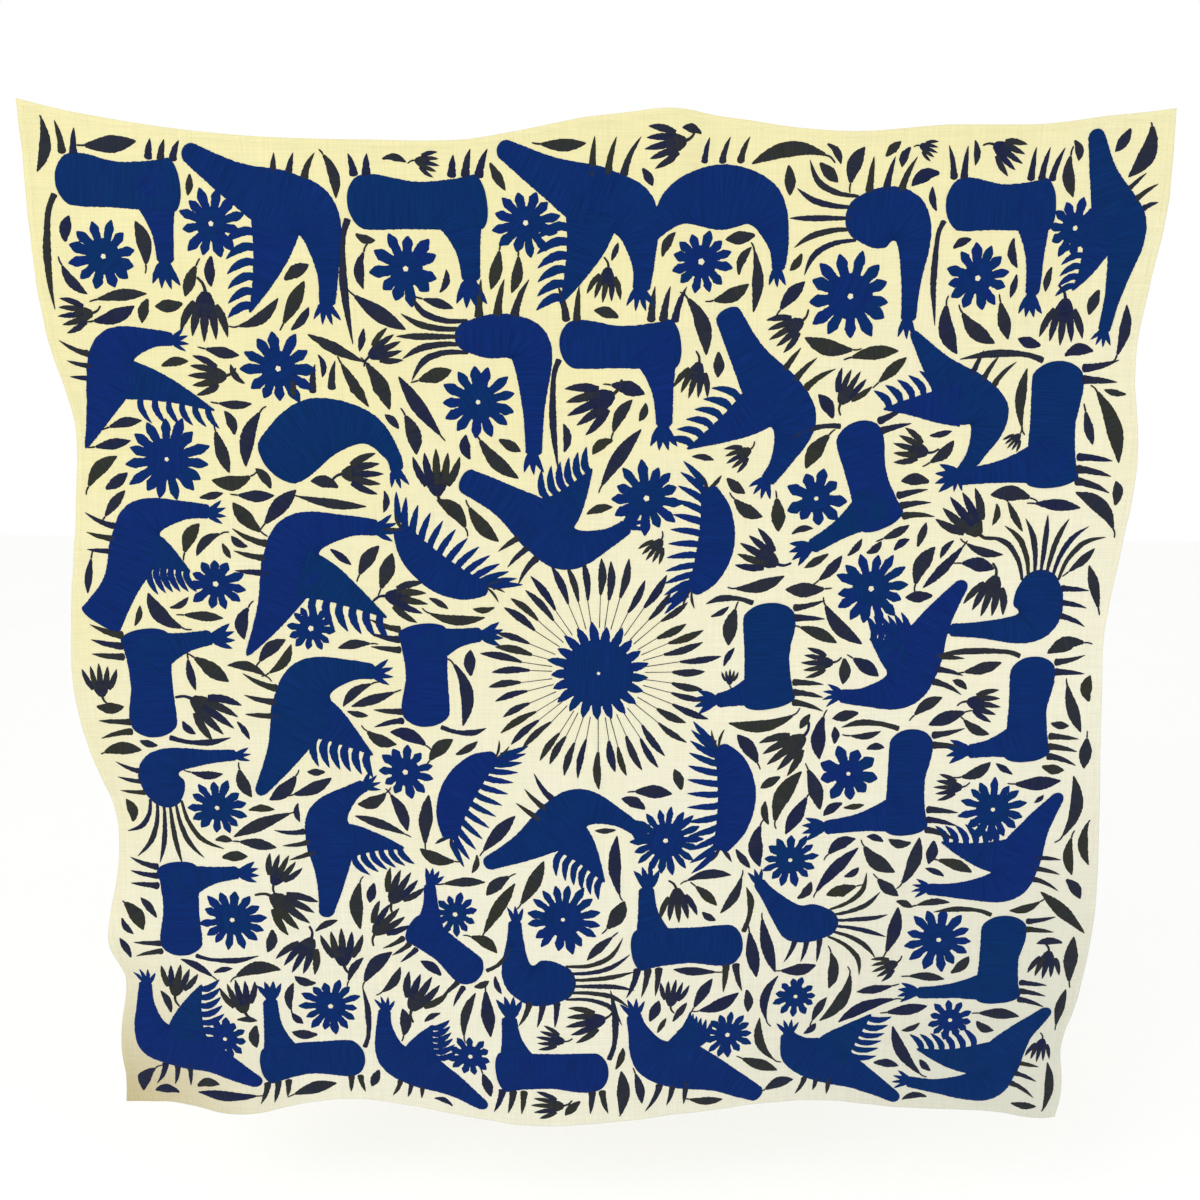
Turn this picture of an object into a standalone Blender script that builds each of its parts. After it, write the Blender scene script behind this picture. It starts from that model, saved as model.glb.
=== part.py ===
"""A square embroidered cotton cloth, hanging from three points of its top hem.

Metres, +Z up. The cloth hangs in the XZ plane and its embroidered face looks along -Y. The origin is
the middle point that it hangs from, on the top hem. Places on the cloth are given as two distances:
across, from the left top corner to the right, and drop, down from the line of the top corners.
"""

import math

import bmesh
import bpy

# Driving dimensions
CLOTH_WIDTH = 1.90
CLOTH_DROP = 1.90
CLOTH_THICKNESS = 0.0015
HEM_WIDTH = 0.012
HEM_THICKNESS = 0.0022
HEM_STEP = 0.002
MIDDLE_HOLD_ACROSS = 1.07
MIDDLE_HOLD_SAG = 0.010
INNER_CELLS = 42

COTTON_COLOUR = (0.85, 0.82, 0.55, 1.0)
COTTON_ROUGHNESS = 0.9

# The top hem between its three holds: (across, how far it sags)
TOP_HEM = (
    (0.00, 0.000),
    (0.10, 0.022),
    (0.25, 0.046),
    (0.40, 0.060),
    (0.56, 0.064),
    (0.72, 0.062),
    (0.82, 0.046),
    (0.94, 0.022),
    (MIDDLE_HOLD_ACROSS, MIDDLE_HOLD_SAG),
    (1.16, 0.022),
    (1.28, 0.040),
    (1.38, 0.045),
    (1.52, 0.034),
    (1.68, 0.030),
    (1.80, 0.014),
    (1.90, 0.003),
)

# The bottom hem: (across, drop)
BOTTOM_HEM = (
    (0.00, 1.896),
    (0.10, 1.890),
    (0.24, 1.901),
    (0.36, 1.892),
    (0.50, 1.888),
    (0.64, 1.896),
    (0.80, 1.911),
    (0.98, 1.909),
    (1.14, 1.899),
    (1.38, 1.887),
    (1.60, 1.891),
    (1.76, 1.894),
    (1.85, 1.903),
    (1.90, 1.900),
)

# The side edges, drawn in where the cloth ripples: (drop, across)
LEFT_EDGE = (
    (0.00, 0.000),
    (0.20, 0.004),
    (0.38, 0.014),
    (0.52, 0.036),
    (0.68, 0.028),
    (0.84, 0.010),
    (1.00, 0.000),
    (1.12, 0.012),
    (1.26, 0.040),
    (1.38, 0.036),
    (1.52, 0.014),
    (1.61, 0.030),
    (1.72, 0.018),
    (1.82, 0.013),
    (1.90, 0.000),
)
RIGHT_EDGE = (
    (0.00, 1.898),
    (0.14, 1.902),
    (0.28, 1.890),
    (0.40, 1.880),
    (0.58, 1.894),
    (0.76, 1.887),
    (0.90, 1.880),
    (1.10, 1.890),
    (1.30, 1.904),
    (1.48, 1.908),
    (1.62, 1.900),
    (1.75, 1.884),
    (1.84, 1.889),
    (1.90, 1.880),
)

# Folds that run down the cloth, each with a soft rounded section. Columns: name; where its crest lies
# across at its upper and lower end; its half width at each end; how far it stands forward at each end;
# the drop of its upper and lower end. A negative forward value is a hollow.
FOLDS = (
    ("left swag", 0.50, 0.52, 0.30, 0.30, 0.028, 0.000, 0.00, 0.85),
    ("right swag", 1.42, 1.42, 0.22, 0.24, 0.020, 0.000, 0.00, 0.70),
    ("middle hold", 1.07, 1.02, 0.05, 0.16, 0.012, 0.004, 0.00, 1.30),
    ("left corner drag", 0.06, 0.44, 0.06, 0.15, -0.012, 0.000, 0.00, 1.05),
    ("middle drag to the left", 1.00, 0.72, 0.05, 0.12, -0.012, 0.000, 0.00, 0.90),
    ("middle drag to the right", 1.13, 1.34, 0.05, 0.12, -0.010, 0.000, 0.00, 0.80),
    ("right corner drag", 1.84, 1.56, 0.06, 0.14, -0.012, 0.000, 0.00, 0.95),
    ("long swell", 0.98, 0.86, 0.12, 0.20, 0.000, 0.026, 0.70, 1.90),
    ("left hem hollow", 0.52, 0.46, 0.12, 0.14, 0.000, -0.022, 0.80, 1.90),
    ("left hem swell", 0.27, 0.25, 0.06, 0.08, 0.000, 0.014, 1.30, 1.90),
    ("right hem hollow", 1.34, 1.38, 0.12, 0.16, 0.000, -0.022, 0.80, 1.90),
    ("right hem swell", 1.84, 1.84, 0.08, 0.08, 0.000, 0.010, 1.40, 1.90),
)

# Ripples that run in from a side edge. Columns: side; the drop of the crest; its half width; how far it
# reaches in from the edge; how far it stands forward.
RIPPLES = (
    ("left", 0.28, 0.14, 0.20, 0.010),
    ("left", 0.54, 0.12, 0.24, -0.018),
    ("left", 0.98, 0.17, 0.24, 0.016),
    ("left", 1.29, 0.10, 0.22, -0.020),
    ("left", 1.50, 0.07, 0.16, 0.014),
    ("left", 1.62, 0.05, 0.12, -0.012),
    ("left", 1.75, 0.06, 0.12, 0.010),
    ("left", 1.92, 0.09, 0.14, -0.024),
    ("right", 0.36, 0.13, 0.20, -0.014),
    ("right", 0.60, 0.12, 0.18, 0.010),
    ("right", 0.88, 0.13, 0.20, -0.013),
    ("right", 1.44, 0.20, 0.22, 0.016),
    ("right", 1.75, 0.08, 0.15, -0.014),
)


def smoothstep(value):
    """Turns 0 to 1 into a soft start and a soft stop."""
    held = min(1.0, max(0.0, value))
    return held * held * (3.0 - 2.0 * held)


def along(rows, place):
    """A smooth line through a table's two columns, read at a place in its first column."""
    if place <= rows[0][0]:
        return rows[0][1]
    for number in range(len(rows) - 1):
        start, end = rows[number], rows[number + 1]
        if place <= end[0]:
            before = rows[max(number - 1, 0)]
            after = rows[min(number + 2, len(rows) - 1)]
            span = end[0] - start[0]
            share = (place - start[0]) / span
            slope_in = (end[1] - before[1]) / (end[0] - before[0]) * span
            slope_out = (after[1] - start[1]) / (after[0] - start[0]) * span
            return (
                start[1]
                + slope_in * share
                + (3.0 * (end[1] - start[1]) - 2.0 * slope_in - slope_out) * share**2
                + (2.0 * (start[1] - end[1]) + slope_in + slope_out) * share**3
            )
    return rows[-1][1]


def fold_height(across, drop, fold):
    """How far one fold carries a place forward: a bell section along a slanting crest."""
    _, crest_top, crest_end, width_top, width_end, forward_top, forward_end, first, last = fold
    share = smoothstep((drop - first) / (last - first))
    crest = crest_top + (crest_end - crest_top) * share
    half_width = width_top + (width_end - width_top) * share
    forward = forward_top + (forward_end - forward_top) * share
    return forward * math.exp(-(((across - crest) / half_width) ** 2))


def ripple_height(across, drop, ripple):
    """How far one ripple carries a place forward: it dies away from its edge and from its crest."""
    side, crest, half_width, reach, forward = ripple
    inward = across if side == "left" else CLOTH_WIDTH - across
    return forward * math.exp(-(((drop - crest) / half_width) ** 2) - (inward / reach) ** 2)


def forward_of(across, drop):
    """How far the cloth stands in front of the plane that it hangs in."""
    folds = sum(fold_height(across, drop, fold) for fold in FOLDS)
    ripples = sum(ripple_height(across, drop, ripple) for ripple in RIPPLES)
    return folds + ripples


HOLD_FORWARD = forward_of(MIDDLE_HOLD_ACROSS, MIDDLE_HOLD_SAG)


def hanging_place(share_across, share_down):
    """The place in space of a point of the flat cloth, given by its shares of the width and the drop."""
    flat_drop = CLOTH_DROP * share_down
    left = along(LEFT_EDGE, flat_drop)
    right = along(RIGHT_EDGE, flat_drop)
    across = left + (right - left) * share_across
    top = along(TOP_HEM, across)
    bottom = along(BOTTOM_HEM, across)
    drop = top + (bottom - top) * share_down
    return (
        across - MIDDLE_HOLD_ACROSS,
        HOLD_FORWARD - forward_of(across, drop),
        MIDDLE_HOLD_SAG - drop,
    )


def cotton_material():
    """Unbleached cotton: a pale cream, with no shine."""
    material = bpy.data.materials.new("unbleached cotton")
    material.use_nodes = True
    shader = material.node_tree.nodes["Principled BSDF"]
    shader.inputs["Base Color"].default_value = COTTON_COLOUR
    shader.inputs["Roughness"].default_value = COTTON_ROUGHNESS
    shader.inputs["Metallic"].default_value = 0.0
    return material


def grid_shares(length):
    """Where the grid's lines lie, as shares of a side: close at the turned hems, even between them."""
    hem = HEM_WIDTH / length
    inner = (HEM_WIDTH + HEM_STEP) / length
    between = [inner + (1.0 - 2.0 * inner) * cell / INNER_CELLS for cell in range(INNER_CELLS + 1)]
    return [0.0, hem, *between, 1.0 - hem, 1.0]


def hanging_cloth(collection):
    """One sheet: a grid is laid into the folds, then thickened on both sides, more in its turned hems."""
    shares_across = grid_shares(CLOTH_WIDTH)
    shares_down = grid_shares(CLOTH_DROP)
    cells = len(shares_across) - 1
    sheet = bmesh.new()
    bmesh.ops.create_grid(sheet, x_segments=cells, y_segments=cells, size=1.0)
    in_hem = []
    for vertex in sheet.verts:
        column = round((vertex.co.x + 1.0) / 2.0 * cells)
        row = round((1.0 - vertex.co.y) / 2.0 * cells)
        if min(column, row, cells - column, cells - row) <= 1:
            in_hem.append(vertex.index)
        vertex.co = hanging_place(shares_across[column], shares_down[row])
    mesh = bpy.data.meshes.new("cloth")
    sheet.to_mesh(mesh)
    sheet.free()
    mesh.shade_smooth()
    cloth = bpy.data.objects.new("cloth", mesh)
    collection.objects.link(cloth)
    cloth.vertex_groups.new(name="hem").add(in_hem, 1.0, "REPLACE")
    wall = cloth.modifiers.new("thickness", "SOLIDIFY")
    wall.thickness = HEM_THICKNESS
    wall.offset = 0.0
    wall.vertex_group = "hem"
    wall.thickness_vertex_group = CLOTH_THICKNESS / HEM_THICKNESS
    mesh.materials.append(cotton_material())
    return cloth


def main():
    """Clears the scene and builds the cloth in a collection of its own."""
    for thing in list(bpy.data.objects):
        bpy.data.objects.remove(thing)
    collection = bpy.data.collections.new("embroidered cloth")
    bpy.context.scene.collection.children.link(collection)
    hanging_cloth(collection)


main()
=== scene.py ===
"""The looks of a square otomi embroidered cloth that hangs from three points of its top hem.

Every place in the design is in centimetres on the hanging cloth: across from its left top corner, then
down from the line of its top corners. The pieces themselves are in metres, in the frame of the cloth's
solid, with the embroidered face towards -Y.
"""

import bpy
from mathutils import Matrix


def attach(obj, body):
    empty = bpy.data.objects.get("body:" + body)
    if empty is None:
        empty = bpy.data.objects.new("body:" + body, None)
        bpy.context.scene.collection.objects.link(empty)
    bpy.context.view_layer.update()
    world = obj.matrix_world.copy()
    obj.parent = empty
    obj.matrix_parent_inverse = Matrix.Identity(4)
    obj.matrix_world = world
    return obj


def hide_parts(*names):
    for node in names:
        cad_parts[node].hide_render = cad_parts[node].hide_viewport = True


bl_info = {
    "name": "Embroidered Cloth",
    "version": (1, 0, 0),
    "blender": (4, 5, 0),
    "location": "3D View > Sidebar > Cloth",
    "description": "Makes a hanging cotton cloth with its satin stitched animals, flowers and leaves",
    "category": "Object",
}

import functools
import math

import bpy
import numpy as np
from mathutils import Matrix

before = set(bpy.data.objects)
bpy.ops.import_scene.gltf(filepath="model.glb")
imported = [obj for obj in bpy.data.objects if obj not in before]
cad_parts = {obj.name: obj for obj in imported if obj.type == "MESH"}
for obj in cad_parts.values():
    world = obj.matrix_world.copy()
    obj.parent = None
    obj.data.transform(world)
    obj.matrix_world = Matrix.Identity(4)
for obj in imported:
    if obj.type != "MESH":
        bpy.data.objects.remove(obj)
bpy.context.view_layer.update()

# The cloth's folds, in metres
CLOTH_WIDTH = 1.90
CLOTH_DROP = 1.90
MIDDLE_HOLD_ACROSS = 1.07
MIDDLE_HOLD_SAG = 0.010

# The top hem between its three holds: (across, how far it sags)
TOP_HEM = (
    (0.00, 0.000), (0.10, 0.022), (0.25, 0.046), (0.40, 0.060), (0.56, 0.064), (0.72, 0.062),
    (0.82, 0.046), (0.94, 0.022), (MIDDLE_HOLD_ACROSS, MIDDLE_HOLD_SAG), (1.16, 0.022), (1.28, 0.040),
    (1.38, 0.045), (1.52, 0.034), (1.68, 0.030), (1.80, 0.014), (1.90, 0.003),
)

# The bottom hem: (across, drop)
BOTTOM_HEM = (
    (0.00, 1.896), (0.10, 1.890), (0.24, 1.901), (0.36, 1.892), (0.50, 1.888), (0.64, 1.896),
    (0.80, 1.911), (0.98, 1.909), (1.14, 1.899), (1.38, 1.887), (1.60, 1.891), (1.76, 1.894),
    (1.85, 1.903), (1.90, 1.900),
)

# The side edges, drawn in where the cloth ripples: (drop, across)
LEFT_EDGE = (
    (0.00, 0.000), (0.20, 0.004), (0.38, 0.014), (0.52, 0.036), (0.68, 0.028), (0.84, 0.010),
    (1.00, 0.000), (1.12, 0.012), (1.26, 0.040), (1.38, 0.036), (1.52, 0.014), (1.61, 0.030),
    (1.72, 0.018), (1.82, 0.013), (1.90, 0.000),
)
RIGHT_EDGE = (
    (0.00, 1.898), (0.14, 1.902), (0.28, 1.890), (0.40, 1.880), (0.58, 1.894), (0.76, 1.887),
    (0.90, 1.880), (1.10, 1.890), (1.30, 1.904), (1.48, 1.908), (1.62, 1.900), (1.75, 1.884),
    (1.84, 1.889), (1.90, 1.880),
)

# Folds that run down the cloth. Columns: where the crest lies across at its upper and lower end; its half
# width at each end; how far it stands forward at each end; the drop of its upper and lower end.
FOLDS = (
    (0.50, 0.52, 0.30, 0.30, 0.028, 0.000, 0.00, 0.85),
    (1.42, 1.42, 0.22, 0.24, 0.020, 0.000, 0.00, 0.70),
    (1.07, 1.02, 0.05, 0.16, 0.012, 0.004, 0.00, 1.30),
    (0.06, 0.44, 0.06, 0.15, -0.012, 0.000, 0.00, 1.05),
    (1.00, 0.72, 0.05, 0.12, -0.012, 0.000, 0.00, 0.90),
    (1.13, 1.34, 0.05, 0.12, -0.010, 0.000, 0.00, 0.80),
    (1.84, 1.56, 0.06, 0.14, -0.012, 0.000, 0.00, 0.95),
    (0.98, 0.86, 0.12, 0.20, 0.000, 0.026, 0.70, 1.90),
    (0.52, 0.46, 0.12, 0.14, 0.000, -0.022, 0.80, 1.90),
    (0.27, 0.25, 0.06, 0.08, 0.000, 0.014, 1.30, 1.90),
    (1.34, 1.38, 0.12, 0.16, 0.000, -0.022, 0.80, 1.90),
    (1.84, 1.84, 0.08, 0.08, 0.000, 0.010, 1.40, 1.90),
)

# Ripples that run in from a side edge. Columns: side; the drop of the crest; its half width; how far it
# reaches in from the edge; how far it stands forward.
RIPPLES = (
    ("left", 0.28, 0.14, 0.20, 0.010),
    ("left", 0.54, 0.12, 0.24, -0.018),
    ("left", 0.98, 0.17, 0.24, 0.016),
    ("left", 1.29, 0.10, 0.22, -0.020),
    ("left", 1.50, 0.07, 0.16, 0.014),
    ("left", 1.62, 0.05, 0.12, -0.012),
    ("left", 1.75, 0.06, 0.12, 0.010),
    ("left", 1.92, 0.09, 0.14, -0.024),
    ("right", 0.36, 0.13, 0.20, -0.014),
    ("right", 0.60, 0.12, 0.18, 0.010),
    ("right", 0.88, 0.13, 0.20, -0.013),
    ("right", 1.44, 0.20, 0.22, 0.016),
    ("right", 1.75, 0.08, 0.15, -0.014),
)

# Creases from storage, in metres. Columns: which way it runs; its place; where it starts and ends; its
# half width; how far it stands forward, where a negative value is a trough.
CREASES = (
    ("across", 0.930, 1.20, 1.90, 0.006, 0.0012),
    ("across", 0.985, 1.45, 1.90, 0.005, -0.0008),
    ("across", 0.470, 0.00, 0.60, 0.006, 0.0010),
    ("across", 1.415, 0.00, 0.45, 0.006, 0.0010),
    ("down", 1.070, 0.02, 0.40, 0.006, 0.0012),
    ("down", 0.475, 0.10, 0.60, 0.006, -0.0008),
    ("down", 1.430, 1.30, 1.88, 0.006, 0.0010),
)

# The pull of the stitches puckers the cotton. Columns: direction in degrees; wave length; height; phase.
PUCKERS = (
    (12, 0.083, 0.00045, 0.4),
    (74, 0.061, 0.00040, 2.1),
    (131, 0.047, 0.00030, 4.0),
    (38, 0.131, 0.00070, 1.2),
    (101, 0.112, 0.00060, 5.3),
)

# How a shape is stitched across: shares of its width; its height there as a share of the full height, where
# the rims lie a little under the face of the cotton; the full height as a share of the thread's height.
WIDE = (
    (0.0, 0.02, 0.09, 0.36, 0.64, 0.91, 0.98, 1.0), (-0.25, 0.70, 1.0, 0.84, 0.84, 1.0, 0.70, -0.25), 1.0,
)
NARROW = ((0.0, 0.24, 0.76, 1.0), (-0.25, 1.0, 1.0, -0.25), 0.85)

# The seed of everything that a hand would do unevenly in the design
SEED = 11

# The design's own chart: the side of one cell, in centimetres, and the cells to a side
CELL = 0.25
CELLS = 764

# In centimetres: how near to a hem a body, a thin shape and a leaf of the ground may lie, the ground that
# stays free round each shape, and the drop that parts the bodies into an upper and a lower piece
BODY_MARGIN = 1.8
THIN_MARGIN = 1.5
GROUND_MARGIN = 1.7
GAP = 0.5
HALF_WAY = 96

# In metres: from yarn to yarn as drawn, from stitch to stitch of each thread, and along the hems
WEAVE_PITCH = 0.0014
NAVY_PITCH = 0.0025
DARK_PITCH = 0.0032
CREAM_PITCH = 0.0016
HEM_PITCH = 0.0105

# Where the hem's stitches run, as a share of its width
HEM_LINE = 0.85

# Where the sun flower's heart lies, in centimetres, and how far its leaves reach
SUN = (95.5, 97.2)
SUN_REACH = 22.5

# How far each petal of a bell flower leans from its middle line
PETAL_LEANS = (-0.42, -0.21, 0.0, 0.21, 0.42)

# Columns: x and y of the rump; heading; torso length; side; neck; lean; thickness; tail
QUADRUPEDS = (
    (5.0, 12.0, 4, 20.5, 1, 0.46, 0.0, 0.44, 0.75),
    (53.8, 15.8, 0, 22, 1, 0.42, 0.0, 0.42, 0.75),
    (152.5, 15.5, 0, 18, 1, 0.66, 0.0, 0.50, 0.80),
    (13.5, 110, -90, 20, 1, 0.45, 0.05, 0.46, 0.40),
    (15, 155, -90, 18.5, 1, 0.50, 0.03, 0.46, 0.50),
    (49, 179.5, 180, 19.5, 1, 0.60, 0.0, 0.46, 0.55),
    (98, 179.5, 180, 21.5, 1, 0.42, 0.0, 0.44, 0.55),
    (175, 41, 90, 21, 1, 0.62, 0.05, 0.46, 0.55),
    (175.5, 94, 90, 19.5, 1, 0.42, 0.03, 0.46, 0.70),
    (174.3, 145.5, 90, 18.5, 1, 0.70, 0.03, 0.50, 0.45),
    (88.5, 38.5, 0, 20, 1, 0.55, 0.0, 0.44, 0.80),
    (140, 51.5, 72, 19, 1, 0.55, 0.1, 0.46, 0.35),
    (154, 108, 90, 20.5, 1, 0.60, 0.08, 0.42, 0.35),
    (124, 153, 180, 21, 1, 0.48, 0.0, 0.45, 0.30),
    (72.5, 159.5, -140, 16.5, 1, 0.40, 0.28, 0.48, 0.30),
    (63.5, 108, -90, 19, 1, 0.42, 0.03, 0.50, 0.30),
    (126.5, 84, 88, 19.5, 1, 0.36, 0.03, 0.52, 0.30),
)

# Columns: x and y of the body; heading; size; side; neck; reach; wing; sweep; width of the tail
BIRDS = (
    (41, 16.5, 0, 23, 1, 0.60, -0.02, 0.66, -0.20, 0.13),
    (93, 15.5, 0, 24, 1, 0.50, 0.0, 0.60, -0.18, 0.12),
    (180.5, 15.5, 40, 18, 1, 0.72, 0.42, 0.66, 0.30, 0.14),
    (11.4, 45.7, -90, 19, 1, 0.50, 0.0, 0.82, -0.24, 0.03),
    (13.2, 76, -90, 20.5, 1, 0.56, 0.0, 0.36, -0.14, 0.40),
    (15.5, 175, 180, 22, 1, 0.52, 0.0, 0.52, -0.12, 0.10),
    (61.5, 180, 180, 20.5, 1, 0.50, 0.0, 0.38, -0.08, 0.10),
    (114.5, 178.5, 180, 24, 1, 0.40, 0.10, 0.22, 0.10, 0.14),
    (143.5, 179.5, 180, 22, 1, 0.20, 0.05, 0.42, -0.30, 0.10),
    (175.5, 177, 97, 20.5, 1, 0.72, 0.0, 0.70, 0.02, 0.10),
    (175, 132.5, 90, 20, 1, 0.72, 0.0, 0.62, -0.10, 0.10),
    (124, 46.5, 30, 22, 1, 0.50, 0.0, 0.60, -0.30, 0.20),
    (157.5, 47, 18, 20, 1, 0.55, -0.12, 0.22, -0.58, 0.06),
    (153, 93, 90, 22, 1, 0.50, 0.0, 0.28, -0.12, 0.10),
    (45.5, 133, -112, 21, 1, 0.42, 0.08, 0.50, -0.22, 0.12),
    (41, 107, -90, 24.5, 1, 0.46, 0.0, 0.42, -0.28, 0.08),
    (40.6, 80, -90, 24, 1, 0.56, 0.0, 0.60, -0.30, 0.03),
    (85, 69, 60, 22, -1, 0.50, 0.0, 0.48, -0.15, 0.20),
    (87.5, 128.5, -60, 21.5, 1, 0.50, 0.0, 0.52, -0.18, 0.12),
)

# Columns: x and y of the body; heading; size; side; neck; reach; how full the body is; plumes; their
# length; their spread
ROOSTERS = (
    (141.5, 18, 0, 23, 1, 0.60, 0.0, 1.0, 5, 0.44, 1.2),
    (14, 120, -90, 20, 1, 0.60, 0.05, 1.0, 6, 0.62, 1.3),
    (175, 83, 90, 22, 1, 0.60, 0.0, 1.0, 7, 0.5, 1.5),
    (77, 37.5, 0, 26, 1, 0.66, 0.0, 0.68, 5, 0.42, 0.9),
    (137.5, 148.5, 180, 21, 1, 0.32, 0.26, 0.95, 6, 0.50, 1.8),
    (86, 159.5, 180, 23, 1, 0.44, 0.0, 1.0, 6, 0.55, 1.0),
)

# Columns: x and y of the back; heading; size; side; neck; how blunt the rear is
ARMADILLOS = (
    (115.5, 15.5, 0, 21, 1, 0.42, 0.0),
    (47.5, 54, -10, 24, 1, 0.26, 1.0),
)

# Columns: x and y of the middle; heading; size; side
FRINGED = (
    (67.9, 76.0, 40, 19, -1),
    (113.3, 72.5, 93, 19, 1),
    (72.2, 122, -66, 19, 1),
    (118.3, 122, -88, 21, -1),
)

# Columns: x and y of the heart; radius; petals
FLOWERS = (
    (12, 24.7, 5.4, 12), (31, 19.5, 5.2, 12), (63, 26.5, 5.4, 11), (83, 19, 5.1, 12), (112.4, 25, 4.8, 12),
    (137.6, 30.5, 6.6, 13), (159, 27.4, 5.1, 12), (175, 19.2, 4.4, 11), (40.5, 43, 5.8, 12),
    (19.5, 58.8, 7, 15), (74.5, 48.5, 5.9, 13), (103.8, 65, 5.9, 13), (133.8, 65, 4.8, 9),
    (144.5, 81.3, 6.2, 14), (26.8, 81, 4.6, 11), (43.4, 89.2, 4.2, 12), (142.5, 117, 5.2, 9),
    (170, 123.8, 5.7, 14), (59.5, 117, 4.8, 11), (23.7, 124.5, 5.4, 13), (108.4, 130.2, 6.6, 18),
    (89, 146, 6.6, 16), (132.5, 135, 5.2, 13), (25.2, 147.4, 5.9, 14), (68.2, 146, 4.1, 11),
    (161.8, 151, 6.2, 13), (135, 164.8, 4.2, 11), (42.7, 167.4, 5.5, 14), (22.2, 173, 4.3, 11),
    (70.6, 176.5, 4.1, 11), (121.6, 172.6, 4.7, 13), (165.5, 168.8, 4.2, 11),
)

# Columns: x and y of the base; the way it opens; length
BELLS = (
    (9.5, 34, 175, 6), (28.5, 31, 98, 8.5), (31.5, 45, 180, 7), (51, 61, 0, 7.5), (57.5, 39.5, -25, 7),
    (67, 65, -90, 8.5), (38.5, 8, 0, 5.5), (65, 8, 0, 5.5), (109.5, 6, 170, 7), (95.5, 24.5, 100, 6),
    (104.5, 30, 150, 6.5), (127, 8.5, 12, 9), (98, 47, 155, 9), (114, 41.5, 95, 8.5), (122, 55, 150, 5),
    (106, 73, 115, 5.5), (146, 8, 20, 6.5), (160.5, 5.5, 30, 6), (130, 34.5, 150, 6.5),
    (137, 48.5, -60, 6.5), (149.5, 40, 75, 8.5), (153, 55.5, 195, 6.5), (169, 53.5, 130, 6.5),
    (175, 30.5, 92, 8), (164, 71.5, -130, 9), (5, 102, -90, 6.5), (7, 120.5, -90, 7), (21, 103, 40, 9.5),
    (42, 114, -20, 8.5), (57, 83, 0, 9), (127.5, 77, -150, 8), (121, 101, -90, 5), (138.5, 96, 180, 6),
    (134, 109.5, 140, 9), (167, 79.5, 95, 8), (183, 69.5, 90, 7), (183.5, 86.5, 100, 6.5),
    (163.5, 102.5, 10, 6.5), (164, 119.5, 180, 5.5), (34, 139, -50, 8), (32, 142.5, 30, 9.5),
    (40, 152, 120, 8.5), (45, 158.5, -90, 8.5), (55, 143, -70, 9), (52, 150, -60, 8), (25, 166, -90, 8.5),
    (12.5, 165, -75, 7.5), (59.5, 167.5, -60, 9), (33, 186, 0, 5), (12, 181, 45, 8), (110, 141.5, 85, 8.5),
    (98, 166, 180, 8), (90, 173, 180, 7.5), (110, 165.5, -80, 6), (88.5, 188, 180, 7.5),
    (153, 155, 165, 8.5), (136, 158, 180, 9.5), (152.5, 168.5, 160, 8.5), (183, 154, 95, 6.5),
    (183, 173, 100, 7),
)

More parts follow.
